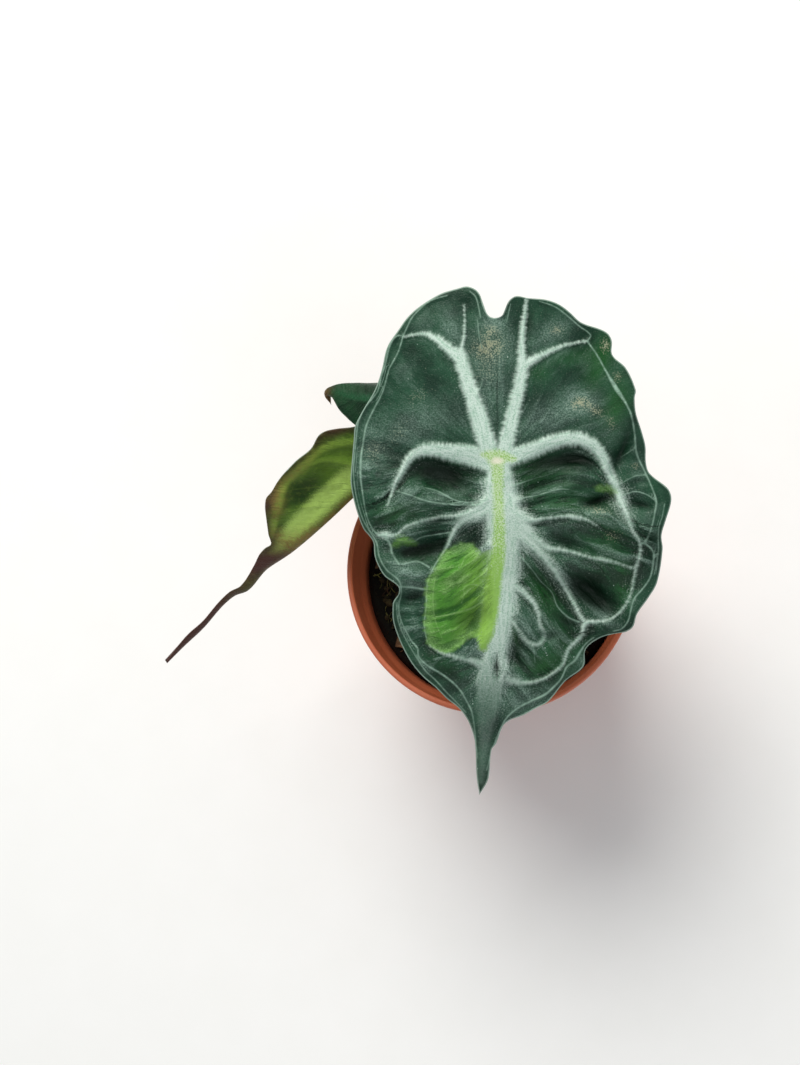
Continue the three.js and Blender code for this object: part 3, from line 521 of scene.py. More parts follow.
# Silver bands: across, along, half-width
MAIN_BANDS = [
    # midrib
    [(0.4, -2, 3.2), (1.2, -10.5, 4.0), (1.8, -17, 3.9), (1.8, -24, 3.4), (1.7, -30, 3.1),
     (1.3, -37, 2.6), (0.6, -44, 2.4), (-0.4, -49, 2.8), (-1.4, -54, 3.4), (-2.2, -60, 2.9),
     (-2.8, -66, 1.8), (-3.3, -72, 1.1), (-4.1, -80, 0.5)],
    # rear ribs, each with its fork to the side
    [(-1.7, 2, 2.4), (-4.4, 10.5, 2.3), (-6, 16, 2), (-7.4, 20.3, 1.85), (-8.6, 24, 1.8),
     (-9.3, 27, 1.5)],
    [(-9.3, 26.5, 1.3), (-8.8, 28.7, 0.5), (-8.2, 31.5, 0.35), (-8.1, 35, 0.22),
     (-8.2, 39.2, 0.12)],
    [(-9.3, 26, 1.7), (-11.5, 27.8, 1.4), (-14.3, 30.1, 1.1), (-16.4, 31.5, 0.75),
     (-18.2, 32.1, 0.5), (-20.3, 32, 0.3), (-23.3, 31.2, 0.2)],
    [(2, 2.5, 2.2), (3.9, 11.8, 1.75), (5.6, 18.9, 1.65), (6.35, 23.8, 1.4), (6.2, 28.7, 0.9),
     (6.4, 33.2, 0.75), (7.05, 37.8, 0.5), (7.4, 40.8, 0.3)],
    [(6.2, 23.2, 1.4), (7.8, 24.8, 1.1), (10.6, 26.4, 0.8), (14.8, 28.3, 0.5),
     (18.3, 29.5, 0.32), (22.5, 30.2, 0.22)],
    # arches to the left and to the right
    [(-1.5, 0.2, 2.8), (-6.9, 1.6, 2.6), (-12.2, 2.4, 2.1), (-17.1, 3, 1.7),
     (-20.8, 1.8, 1.2), (-23.8, -2.3, 0.85), (-25.9, -6.4, 0.5), (-26.8, -9.1, 0.3),
     (-27.6, -11.2, 0.1)],
    [(1.5, 0.5, 2.4), (5.3, 1.7, 2.1), (9.9, 3.3, 1.9), (14.8, 5.2, 1.8), (19.3, 5.7, 1.8),
     (23.5, 4.5, 1.75), (26, 1.7, 1.5), (27.7, -1.5, 1.2), (29.1, -5, 1.1), (30.7, -9, 1.05),
     (32.3, -13, 0.8), (34, -17.2, 0.42), (35.6, -20, 0.32), (35.8, -22.4, 0.36),
     (34.9, -25.6, 0.36), (34.2, -29.5, 0.27), (33.3, -33.3, 0.26), (31.6, -36.5, 0.27),
     (29.1, -38.8, 0.27), (26, -39.8, 0.32), (22.1, -40.3, 0.6), (21.4, -42.8, 0.5),
     (19.3, -45.2, 0.45), (17.6, -47.3, 0.42), (16.5, -50.5, 0.37), (13.3, -53.3, 0.36),
     (9.8, -54.9, 0.4), (6.3, -55.2, 0.6), (2.8, -54.4, 1.1)],
    # side ribs on the right, the second one with a loop below it
    [(2, -10.5, 2), (5.5, -13.8, 1.4), (9, -14.6, 0.75), (11.6, -14.2, 0.4),
     (15.8, -13.7, 0.35), (19.3, -13.7, 0.55), (22.8, -14.7, 0.3), (24.9, -15.8, 0.2)],
    [(2.5, -13, 2.4), (6.2, -16.2, 1.6), (9.8, -19.4, 0.95), (12.6, -21.4, 0.75),
     (15.8, -21.9, 0.55), (20, -22.8, 0.4), (22.8, -23.8, 0.3), (27, -24.5, 0.5),
     (29.8, -25.2, 0.25), (32.6, -26.1, 0.25), (34.2, -26.6, 0.3)],
    [(3, -15.5, 2.6), (7, -19, 1.6), (10.9, -22.8, 1.1), (14, -26.6, 0.95), (16.8, -30.9, 0.75),
     (18.9, -34.7, 0.6), (20.7, -38.2, 0.5), (22, -40.3, 0.6)],
    [(3, -30.2, 1.2), (4.6, -31.2, 0.85), (7, -33, 0.7), (9.1, -35.4, 0.6), (10.4, -37.9, 0.45),
     (10.7, -40.7, 0.42), (11.8, -43.5, 0.45), (10.2, -45.6, 0.5), (8.1, -45.2, 0.55),
     (6.3, -43.5, 0.5), (4.9, -41.4, 0.45), (2.8, -38.6, 0.8)],
    # side ribs on the left
    [(-1, -9.5, 2.2), (-3.1, -11.6, 1.7), (-7, -13.7, 1.15), (-9.8, -15.8, 0.8),
     (-11.5, -18.9, 0.55), (-12.9, -21.7, 0.3), (-14, -23.4, 0.15)],
    [(-16.8, -45.9, 0.2), (-14, -47.7, 0.35), (-10.5, -48.7, 0.45), (-7.3, -49.4, 0.6),
     (-3.5, -50.8, 1.2)],
    [(-2.5, -10.4, 1.2), (-6, -12.2, 0.8), (-10.1, -13.5, 0.6), (-14.3, -13.8, 0.35),
     (-18.5, -14.7, 0.35), (-22.7, -16.1, 0.3), (-25.2, -18.2, 0.35), (-28, -18.3, 0.7),
     (-29.4, -18.3, 0.5)],
]

# The dark window in the foot of the midrib's band: across, along, half-width, half-length
MIDRIB_WINDOW = (-0.2, -51.2, 1.4, 3)

# Thin veins: across, along, half-width
MAIN_LINES = [
    [(-2.5, -9.3, 0.4), (-6.5, -10.2, 0.3), (-10.1, -9.7, 0.25), (-15, -7.2, 0.2),
     (-18, -6.4, 0.12)],
    [(-4, -10.6, 0.35), (-10.1, -10.7, 0.3), (-17.1, -9.9, 0.25), (-22, -8.2, 0.2),
     (-25.5, -7.2, 0.12)],
    [(-11.5, -17.6, 0.25), (-15.7, -18.2, 0.2), (-19.2, -18.9, 0.2), (-21, -20, 0.2),
     (-24.5, -19.5, 0.2), (-27.5, -18.5, 0.2)],
    [(-11.5, -15.4, 0.12), (-15, -15, 0.12), (-19.6, -15.6, 0.15), (-23, -17.2, 0.12)],
    [(5.7, -9.2, 0.3), (10, -8.3, 0.22), (15.5, -6.9, 0.2), (18, -6.8, 0.12)],
    [(4, -6, 0.3), (8, -4.6, 0.15), (11, -3.6, 0.1)],
    [(5, -22.5, 0.3), (8.8, -27, 0.2), (10.9, -29.8, 0.18), (13.7, -32.6, 0.15),
     (15.1, -36.1, 0.2), (17.9, -38.9, 0.25), (20.5, -40, 0.3)],
    [(9.1, -45.9, 0.15), (9.5, -50.2, 0.1)],
    [(-3, -31.6, 0.2), (-5.9, -30.6, 0.18), (-8.3, -31.6, 0.15), (-8.2, -33.3, 0.12),
     (-9, -35.4, 0.1)],
    [(-2.6, -27.6, 0.2), (-4.6, -28.6, 0.15), (-6.3, -30, 0.1)],
    [(-6.3, -22.6, 0.12), (-8, -23.8, 0.15), (-9.1, -26.3, 0.12), (-11.2, -28, 0.1)],
    [(-3.4, -34.8, 0.2), (-7, -36.8, 0.3), (-12.2, -38.2, 0.25), (-16.4, -38.9, 0.15)],
    [(-17, -26.3, 0.3), (-20, -24.8, 0.25), (-23.5, -25.6, 0.2)],
    [(-17.5, -32, 0.3), (-21, -31.4, 0.3), (-24.3, -31.2, 0.2)],
    [(31, 1.2, 0.15), (34.5, 3.5, 0.15)],
    [(-14, -23.4, 0.2), (-16.2, -27, 0.25), (-17.5, -31, 0.25), (-17.7, -36, 0.2),
     (-18.2, -41, 0.2), (-17.4, -45, 0.2)],
    [(-15.4, -28.5, 0.12), (-16, -33, 0.15), (-15.6, -39, 0.12), (-13.6, -44.5, 0.1)],
    [(30.5, -5.7, 0.12), (34.3, -3.6, 0.15), (37, -3.2, 0.2)],
    [(31.5, -8.4, 0.15), (34.5, -7.4, 0.2), (37.5, -8.2, 0.2), (39.5, -9.6, 0.2)],
    [(-4.9, 35.5, 0.12), (-4.4, 31, 0.15), (-3.6, 28, 0.1)],
    [(-5, 17, 0.15), (-4, 19, 0.15), (-3.6, 20.7, 0.1)],
    # the line that gathers the veins inside the left margin
    [(-12.5, 41.6, 0.15), (-16.4, 40.4, 0.18), (-19.2, 38.3, 0.2), (-21.3, 36, 0.2),
     (-22.7, 33.2, 0.2), (-23.5, 31.3, 0.25), (-24.5, 28, 0.2), (-25.5, 25.9, 0.22),
     (-26.9, 23.4, 0.2), (-27.6, 21, 0.2), (-28.5, 17.8, 0.2), (-29.8, 15, 0.25),
     (-31.1, 12.6, 0.25), (-32.7, 9, 0.25), (-33.4, 5.2, 0.25), (-34.1, 0.3, 0.35),
     (-34.1, -3.6, 0.32), (-33.6, -7.8, 0.22), (-32.7, -13, 0.2), (-31.5, -16.1, 0.2),
     (-29.6, -18.4, 0.35), (-28, -18.6, 0.5), (-26.6, -21, 0.35), (-26.2, -22.8, 0.35),
     (-24.5, -25.6, 0.3)],
    [(-23.5, 31.3, 0.2), (-24.8, 31.6, 0.2), (-26.4, 29.9, 0.22), (-27.3, 27.4, 0.25),
     (-27.9, 24.5, 0.25), (-29, 21, 0.22), (-29.8, 17.8, 0.22), (-31.4, 15.6, 0.22),
     (-33.2, 13.4, 0.22), (-34.7, 10, 0.22), (-35.1, 6.9, 0.22), (-35.6, 2, 0.2),
     (-35.9, -3, 0.18), (-35.1, -9, 0.18), (-33.6, -14.2, 0.2), (-31.6, -17.6, 0.25),
     (-30.1, -20.3, 0.25), (-29.4, -23.8, 0.22), (-27.6, -27, 0.22), (-24.6, -29.6, 0.25),
     (-23.9, -32.6, 0.22), (-24.6, -36.1, 0.2), (-24, -39.6, 0.2), (-22.7, -42.4, 0.22),
     (-21.3, -44.9, 0.25), (-19.9, -46.6, 0.3), (-19.6, -48.7, 0.25), (-17.5, -50.8, 0.3),
     (-14, -52.9, 0.3), (-11.2, -55, 0.3), (-9.1, -57.2, 0.25), (-7.7, -59.6, 0.25),
     (-6.3, -62.5, 0.25), (-5.6, -67, 0.2), (-4.9, -74, 0.15)],
    [(-25.2, -35.1, 0.15), (-25, -38, 0.15), (-24.3, -41, 0.18), (-22.7, -44.5, 0.18),
     (-20.4, -48.4, 0.18), (-17.9, -52.2, 0.2), (-15.4, -54.5, 0.2), (-12.7, -57.5, 0.2),
     (-10.2, -60, 0.18), (-7.8, -62.6, 0.18)],
    # the same on the right
    [(22.5, 30.2, 0.25), (24.9, 26.9, 0.25), (27.4, 22.4, 0.3), (29.9, 18.2, 0.6),
     (32, 15, 0.35), (33.5, 11.9, 0.3), (34.4, 6.9, 0.28), (34.9, 2, 0.3),
     (37.2, -2.9, 0.25), (39, -7.1, 0.25), (39.8, -9.8, 0.3), (39.6, -11.9, 0.28),
     (38.6, -16.5, 0.25), (37, -20, 0.35), (36, -20.5, 0.35)],
    [(37, -20.3, 0.3), (39, -22.4, 0.3), (39, -25.3, 0.3), (38.3, -28.8, 0.25),
     (36.5, -31.6, 0.25), (34.4, -34, 0.25), (33.5, -36.8, 0.25), (32.8, -39.6, 0.22),
     (31.2, -41.7, 0.2), (28.8, -42.3, 0.18)],
    [(22.5, 30.2, 0.2), (23.4, 31.7, 0.15), (20.6, 33.9, 0.2), (17.5, 36.6, 0.2),
     (14.5, 38.8, 0.2), (10.5, 40.2, 0.15)],
    [(41.9, -10.5, 0.15), (41.3, -13.6, 0.15), (40.5, -16.1, 0.15), (40.3, -18.6, 0.15),
     (40.3, -22.5, 0.15), (39.7, -28, 0.12)],
    [(24.5, -43.6, 0.18), (22.2, -45.4, 0.2), (20.9, -47.3, 0.35), (19.3, -49.8, 0.35),
     (17.4, -51.2, 0.3), (16.3, -53.7, 0.25), (14.6, -55.8, 0.3), (11.9, -58.2, 0.35),
     (8.4, -59.8, 0.3), (4.9, -61.7, 0.28), (2.2, -64.2, 0.25), (0.3, -68, 0.2),
     (-1.2, -72, 0.18), (-2.6, -77, 0.15)],
    [(39, -22.4, 0.2), (40.2, -24, 0.15)],
    [(3.4, 39.5, 0.15), (2.9, 37.3, 0.15), (2.4, 35, 0.12)],
    [(-6.9, 42.7, 0.15), (-5.4, 41.4, 0.2), (-4.6, 38.6, 0.2), (-4.1, 36, 0.15)],
]

# Lime core of the midrib: across, along, half-width
MAIN_CORE = [
    [(0, 1.2, 1.6), (0.2, -3, 1.2), (0.3, -9, 1.05), (0.5, -17.5, 1.25), (0.2, -23.8, 1.5),
     (-0.6, -28, 1.7), (-1.4, -35, 1.8), (-2.5, -42, 1.6), (-3.4, -46, 0.9)],
    [(-3.4, 2, 0.4), (-1.6, 1.5, 1.1), (0, 0.9, 1.8), (1.9, 1.2, 1.1), (4.4, 0.7, 0.3)],
]
HUB = (0, 0.3, 1.2, 0.7)

# Border of the lime patch left of the midrib, and the lime tongue beside it
LIME_PATCH = [
    (-13, -22), (-9.5, -21), (-7, -20.6), (-4.6, -22), (-1.3, -22.6), (-1.8, -28), (-2.5, -34.5),
    (-3.5, -41), (-4.5, -46), (-5.5, -43.5), (-8, -44.2), (-9.8, -46.3), (-12.4, -47.6),
    (-14.6, -46.8), (-17, -44.9), (-17.9, -41), (-17.7, -35.8), (-17.4, -30.3), (-15.8, -26.6),
    (-14, -24),
]
LIME_TONGUE = [
    [(-25.4, -20.4, 0.5), (-24, -19.4, 0.9), (-22, -19.9, 0.8), (-20.2, -20.8, 0.3)],
    [(25, -7, 0.3), (27.4, -6.5, 0.7), (29.3, -7.6, 0.5)],
]

# Spots: centre across, centre along, half-length, half-width, turn in degrees, strength
MAIN_FOLDS = [
    (-11.8, -4, 8, 4.5, 12, -2.2), (-18.3, -19.8, 6.5, 2.8, 22, -2.6),
    (-7.3, -17.8, 4, 3, 40, -1.4), (-21.2, -33.8, 3, 2.4, 10, -1),
    (-6.8, -39.8, 4.5, 3, 60, -1.3), (-11.5, -32, 5, 3.4, 70, 1.2), (17.5, 1.2, 5, 2.6, 5, -1),
    (11, -5.5, 7, 3.2, 14, -2), (25, -9.5, 5, 2.6, 20, -2), (31, 1.8, 6, 2.8, 115, -1.8),
    (35.8, -10, 3.5, 2.4, 0, -1), (17.3, -19, 6, 2.6, -10, -1.6),
    (23.3, -33.3, 7, 3.8, -40, -3.2), (12.3, -30.3, 6, 2.8, -42, -1.8),
    (21, -13.8, 7, 3.4, 0, 1.4), (20.5, -3.5, 5, 3, 20, 1), (29, -27, 5, 3.4, -30, 1.2),
    (4.5, -47.5, 1.8, 3.6, 0, -2), (0.1, -50.4, 1, 2, 0, -0.7),
]
# Pale frosty grey with painted sheen: partly the skin's own grey, partly the window's soft
# reflection
MAIN_BLOOM_AND_SHEEN = [
    (-20, 9.5, 9, 5, 20, 0.62), (-31, 3, 3.5, 8, 0, 0.5), (20.5, 15.4, 3, 2, 10, 0.4),
    (-11.5, 33, 3, 4.5, 20, 0.62),
    (-2, 20, 5, 14, 0, 0.6), (-1, 31, 4.5, 6, 0, 0.35), (14.5, 33, 4.5, 2.6, 30, 0.75),
    (13, 11, 9, 3.6, 25, 0.72), (21, 15, 4.5, 3.4, -20, 0.7), (20.6, 15.6, 2, 1.4, 0, 0.6),
    (28, 8, 2.6, 3.6, -20, 0.45), (-21, -29, 4.5, 5, 0, 0.6),
    (-13.5, -8.5, 8, 1.5, 18, 0.5), (15, -16.4, 6, 2.4, 0, 0.55), (19.5, -24.8, 5.5, 2.2, -12, 0.5),
    (26, -12.6, 5, 2.6, -15, 0.5), (0, -57, 9, 6, 0, 0.5), (-3.4, -70, 2.5, 9, 0, 0.2),
    (9, -60, 7, 3, 25, 0.35), (10.8, 29.5, 4, 3, 20, 0.3), (8, -40, 2.2, 3.6, 25, 0.35),
    (21, -49.5, 1.8, 1.6, 0, 0.7),
    (-0.5, 34.5, 2.6, 2, 0, 0.8), (-24, -20, 5, 6, 0, 0.35), (17, -4.5, 8, 2, 20, 0.4),
    (35.5, -3, 2, 3, 0, 0.4),
]
MAIN_SCUFF = [
    (-2, 28.5, 4.2, 3, 10, 0.85), (-1.7, 33, 2.4, 1.8, 0, 0.55), (-2.5, 22.5, 4, 3, 0, 0.35),
    (14.8, 33, 2.2, 1.5, 0, 0.6), (20.6, 14.7, 2.4, 1.7, 15, 0.95), (24.6, 13, 2.4, 1.3, -30, 0.7),
    (27, 29, 1.3, 2, 0, 0.8), (30.2, 21.3, 1.4, 1.4, 0, 0.6), (28.6, 9.7, 1.2, 2.2, 20, 0.5),
    (-19.9, 16.4, 2.4, 1.6, 30, 0.45), (-31, 2.8, 2.6, 3.4, 0, 0.4), (25, -12, 4, 1.4, -15, 0.55),
    (29, -18.4, 2.4, 1.8, 0, 0.5), (-24.5, 7.6, 4, 2, 50, 0.3), (34.6, -1, 1.4, 1.2, 0, 0.5),
]
MAIN_WARM = [
    (25.5, 25, 3, 7, -20, 0.9), (29.8, 14, 3, 6.5, -15, 0.9), (-25, -13, 5.5, 3.6, 0, 0.7),
    (31.5, -31, 2.6, 5, 0, 0.8), (11, -51, 5.5, 3, 15, 0.9), (11, -31, 3, 6, 40, 0.6),
    (10, -2.5, 7, 4, 0, 0.5), (19, 26, 6, 2, 10, 0.5), (20, -11, 8, 2, 0, 0.5),
    (10.5, 22, 3, 2, 0, 0.5), (4.4, -43, 0.8, 4, 10, 0.9), (-13, -51, 6, 2.5, -30, 0.4),
    (12, -6, 12, 7, 0, 0.35), (24, -19, 10, 9, 0, 0.35), (-14, -5, 9, 5, 0, 0.35),
    (-18, -24, 7, 3, 0, 0.4), (17, -46, 6, 4, 0, 0.4), (28, -24, 5, 7, 0, 0.3),
    (13, -37, 4, 8, 30, 0.45),
]

# Painted shade: where the furrows between the ribs are darkened most
MAIN_SHADE = [
    (-12.3, -3.2, 8, 2.8, 5, 0.8), (-17, -2.2, 4, 2, 0, 0.5), (-19.5, -12.5, 6, 2.4, 8, 0.4),
    (-6, -18, 4.5, 3.2, 35, 0.35), (-10.8, -30.2, 3.8, 1.4, 12, 0.6), (-6, -39.5, 4, 2, 50, 0.6),
    (14.7, -0.6, 9.5, 3, 12, 0.7), (20, 0.2, 4, 2.2, 0, 0.5), (9, -7, 4, 2.5, 30, 0.35),
    (24.5, -9.2, 4, 1.2, 15, 0.85), (17, -19.3, 5, 1.4, -12, 0.65), (23, -33, 6, 3.2, -38, 0.95),
    (11, -29.5, 6, 1.4, -45, 0.6), (14.5, -35, 3, 1.6, -40, 0.5), (4.8, -46.5, 1.8, 4, -5, 0.85),
    (8, -49.5, 2.6, 1.8, 0, 0.5), (17.5, -39.8, 2.4, 1.2, -20, 0.6), (13, -43.2, 2.4, 1, 0, 0.5),
    (-18.6, -22, 6.5, 1.3, 10, 1.3), (-12.6, -20.6, 2.4, 1.2, 30, 0.6),
    (-14, -14.8, 4, 0.8, 0, 0.5), (-21.3, -33.8, 2.6, 1, 0, 0.6),
    (30.5, 1.5, 5.5, 1.1, 66, 0.6), (35.8, -10.6, 3, 1, -10, 0.75), (35.5, -4.8, 2.4, 0.8, 0, 0.4),
    (-0.2, -51.2, 1.2, 2.6, 0, 1.2), (27, -42, 5, 1.6, 10, 0.5), (-4.5, -78, 1.5, 9, 0, 0.5),
]

# Where the silver is thin: towards the tip, and on the ribs below the stem joint
SILVER_LOSS = [
    (-4, -80, 6, 16, 0, 0.85), (-2, -58, 12, 8, 0, 0.5), (14, -24, 16, 10, 0, 0.22),
    (-16, -33, 5, 14, 0, 0.5), (-3, -68, 8, 9, 0, 0.4), (9, -45, 7, 6, 0, 0.35),
    (30, -30, 6, 20, 0, 0.15),
    (-10, -49, 8, 3, 0, 0.2), (14, -52, 9, 4, 30, 0.2), (-14, -14.5, 6, 4, 0, 0.25),
]

# Guide lines along the side veins of each side, from the highest to the lowest, as (distance
# from the midrib, along)
FLOW_LEFT = [
    [(0, 0), (7, 1.6), (12, 2.4), (17, 2.8), (21, 1.4), (24, -2.3), (26.5, -7), (30, -10),
     (40, -12)],
    [(0, -9), (4, -9.8), (10, -9.7), (15, -7.2), (20, -6.4), (26, -9), (40, -14)],
    [(0, -10), (6, -12), (10, -13.5), (14.5, -13.8), (22.7, -16), (28, -18.2), (40, -19)],
    [(0, -14), (5, -16.5), (10, -18.6), (15.7, -19.4), (21, -20.2), (28, -20), (40, -22)],
    [(0, -18), (4, -21.5), (8, -24.8), (12, -27.4), (17, -29), (24, -29), (40, -31)],
    [(0, -26), (4, -29.8), (8, -33), (13, -36), (18, -37.2), (26, -37.4), (40, -39)],
    [(0, -34), (4, -38), (8, -41), (13, -43.2), (18, -44), (25, -46), (40, -50)],
    [(0, -45), (4, -49), (8, -51.4), (13, -53), (20, -56), (40, -64)],
    [(0, -56), (4, -61), (8, -66), (16, -74), (40, -86)],
    [(0, -72), (4, -79), (8, -86), (40, -99)],
]
FLOW_RIGHT = [
    [(0, 0), (5, 1.7), (10, 3.3), (15, 5.2), (20, 5.6), (24, 4), (27, 0), (30, -6), (33, -14),
     (45, -17)],
    [(0, -7), (4, -6), (10, -3), (16, 0), (22, 0), (27, -4), (33, -15), (45, -19)],
    [(0, -10), (6, -9.2), (11, -8), (18, -6.8), (24, -7), (29, -9), (36, -17), (45, -21)],
    [(0, -11), (4, -13), (9, -14.4), (16, -13.7), (22, -14.6), (28, -17), (36, -20), (45, -23)],
    [(0, -13), (5, -16.4), (10, -19.4), (16, -21.9), (23, -23.8), (33, -26.2), (45, -28)],
    [(0, -16), (5, -19), (10, -22.4), (14, -26.6), (17, -30.9), (20, -35.5), (30, -46), (45, -56)],
    [(0, -27), (4, -29), (8, -32.5), (12, -38), (16, -44), (22, -50), (45, -66)],
    [(0, -38), (4, -41), (8, -46), (12, -50), (18, -54), (45, -70)],
    [(0, -48), (4, -52), (8, -56), (14, -60), (45, -78)],
    [(0, -58), (4, -64), (8, -70), (45, -88)],
    [(0, -72), (4, -79), (8, -86), (45, -99)],
]

# Creases, drawn so that their steep lip lies on the left: line, depth, lip width, slope width
MAIN_CREASES = [
    ([(-19.5, -15.4), (-14.3, -14.9), (-10, -14.6)], 1.2, 0.6, 1.2),
    ([(-26, -22), (-22.5, -22.4), (-17.5, -21.6), (-12, -20.2)], 3.4, 2.0, 3.2),
    ([(-24.6, -33.4), (-21.5, -34), (-18.8, -33.2)], 1.6, 0.9, 2),
    ([(-22.5, -4), (-19, -2.2), (-14.3, -3), (-9.3, -5), (-4.2, -7.8)], 2.8, 2.8, 3.4),
    ([(-15.5, -30.6), (-11.5, -29.6), (-7.5, -28.4)], 1.0, 1.2, 2.4),
    ([(-11.5, -41.5), (-7.5, -38.8), (-3.8, -35.8)], 1.4, 1.8, 3),
    ([(5, -4.5), (10.5, -1), (16, 0.6), (21.5, 0.8), (25.8, -2.6)], 2.4, 2.4, 3.2),
    ([(6.3, -8), (10, -6), (15, -4.2)], 1.0, 0.8, 1.4),
    ([(5.5, -11.4), (10, -10.8), (16, -9.6)], 0.9, 0.8, 1.4),
    ([(20.5, -11.3), (24.5, -9.9), (29.6, -8)], 2.4, 1.2, 2.2),
    ([(33, -10), (36, -10.7), (39, -11.4)], 1.7, 0.9, 1.4),
    ([(33, -5.4), (35.5, -5), (38, -5.2)], 0.8, 0.7, 1.2),
    ([(12.5, -18.2), (17, -19.9), (23, -21.9)], 1.8, 1.8, 1.6),
    ([(15.6, -27.4), (19.5, -30.4), (24, -33.4), (29.5, -38)], 3.6, 3.2, 3.6),
    ([(6.8, -26), (11.5, -31), (16.6, -36.3)], 1.5, 0.9, 1.8),
    ([(14, -37.6), (17, -40), (20, -41.2)], 1.2, 0.8, 1.4),
    ([(10.4, -42.6), (13, -43.6), (15.2, -42.2)], 1.2, 0.8, 1.6),
    ([(28.4, -4.2), (30.6, 1.5), (33, 7.4), (33.4, 11)], 2.0, 1.3, 1.8),
]


def crease_depths(creases, points):
    """How deep each point lies in the creases; a lip falls steeply, the far side rises gently."""
    depth = np.zeros(len(points))
    for drawn, deepest, lip, slope in creases:
        line = smooth_line([(*point, 0) for point in drawn])
        _, place = beside([line], points)
        aside, share = place[:, 3], place[:, 4]
        profile = np.where(aside > 0, np.exp(-((aside / lip) ** 2)),
                           np.exp(-np.abs(aside / slope) ** 1.5))
        distance = np.hypot(place[:, 0], place[:, 1])
        profile *= np.exp(-np.clip(distance - np.abs(aside), 0, None) / slope)
        depth = np.maximum(depth, deepest * profile * np.sin(math.pi * share) ** 0.6)
    return depth


def vein_flow(points):
    """Place in the pleats that run out with the side veins: across them, then along them.

    In the rear lobes they run straight out from the stem joint instead."""
    out, along = np.abs(points[:, 0]), points[:, 1]
    lane = np.zeros(len(points))
    for guides, side in ((FLOW_LEFT, points[:, 0] < 0), (FLOW_RIGHT, points[:, 0] >= 0)):
        curves = [smooth_line(guide) for guide in guides]
        heights = [np.interp(out, curve[:, 0], curve[:, 1]) for curve in curves]
        for number, (upper, lower) in enumerate(zip(heights, heights[1:])):
            share = (upper - along) / (upper - lower)
            here = side & (share > 0)
            lane[here] = (number + np.minimum(share, 1))[here]
        rear = side & (along >= heights[0])
        lane[rear] = -4 - 3 * np.arctan2(points[:, 0], along + 2)[rear]
    reach = np.where(lane < 0, np.hypot(out, along), out)
    lay = np.column_stack([lane * 4.5, reach * 0.16, np.sign(points[:, 0]) * 7])
    folds = [mathutils_noise.noise(Vector((x * 0.45, y * 0.4, z)))
             + 0.5 * mathutils_noise.noise(Vector((x, y * 0.7, z + 5))) for x, y, z in lay]
    return lane, lay, np.array(folds)


def inside_distance(border, points):
    """Distance to a closed border, negative inside it."""
    line = smooth_line([(*point, 0) for point in [*border, border[0]]])
    edge, _ = beside([line], points)
    inside = np.zeros(len(points), bool)
    x, y = points[:, 0], points[:, 1]
    for (ax, ay), (bx, by) in zip(line[:-1, :2], line[1:, :2]):
        crosses = (ay > y) != (by > y)
        if ay != by:
            inside ^= crosses & (x < (bx - ax) * (y - ay) / (by - ay) + ax)
    return np.where(inside, -edge, edge)


def oval_distance(oval, points):
    """Roughly the distance to an oval's border, negative inside it."""
    across, along, width, length = oval
    reach = np.hypot((points[:, 0] - across) / width, (points[:, 1] - along) / length)
    return (reach - 1) * min(width, length)


def margin_distance(pattern, points):
    lines = []
    for side in ("left", "right"):
        margin = smooth_line(pattern[side], steps=3)
        lines.append(np.column_stack([margin, np.zeros(len(margin))]))
    return beside(lines, points)[0]


def drawn_fields(pattern, bands, lines, core, points):
    """The fields that every leaf's material reads, from the bands, thin veins and core drawn."""
    band, band_place = beside([smooth_line(line) for line in bands], points)
    thin, thin_place = beside([smooth_line(line) for line in lines], points)
    away = np.hypot(thin_place[:, 0], thin_place[:, 1])
    width = band_place[:, 5]
    return {
        "flat": np.column_stack([points, np.zeros(len(points))]),
        "band": band * (1 + 1.3 * np.exp(-width / 0.5)),
        "haze": np.clip(width / 1.4, 0.3, 1) * np.exp(-np.clip(band, 0, None) / 1.9),
        "grain": np.column_stack([band_place[:, 2], band_place[:, 3], np.zeros(len(points))]),
        "line": np.column_stack([thin_place[:, :2], thin]),
        "line_width": away - thin,
        "margin": margin_distance(pattern, points),
        "core": beside([smooth_line(line) for line in core], points)[0],
    }


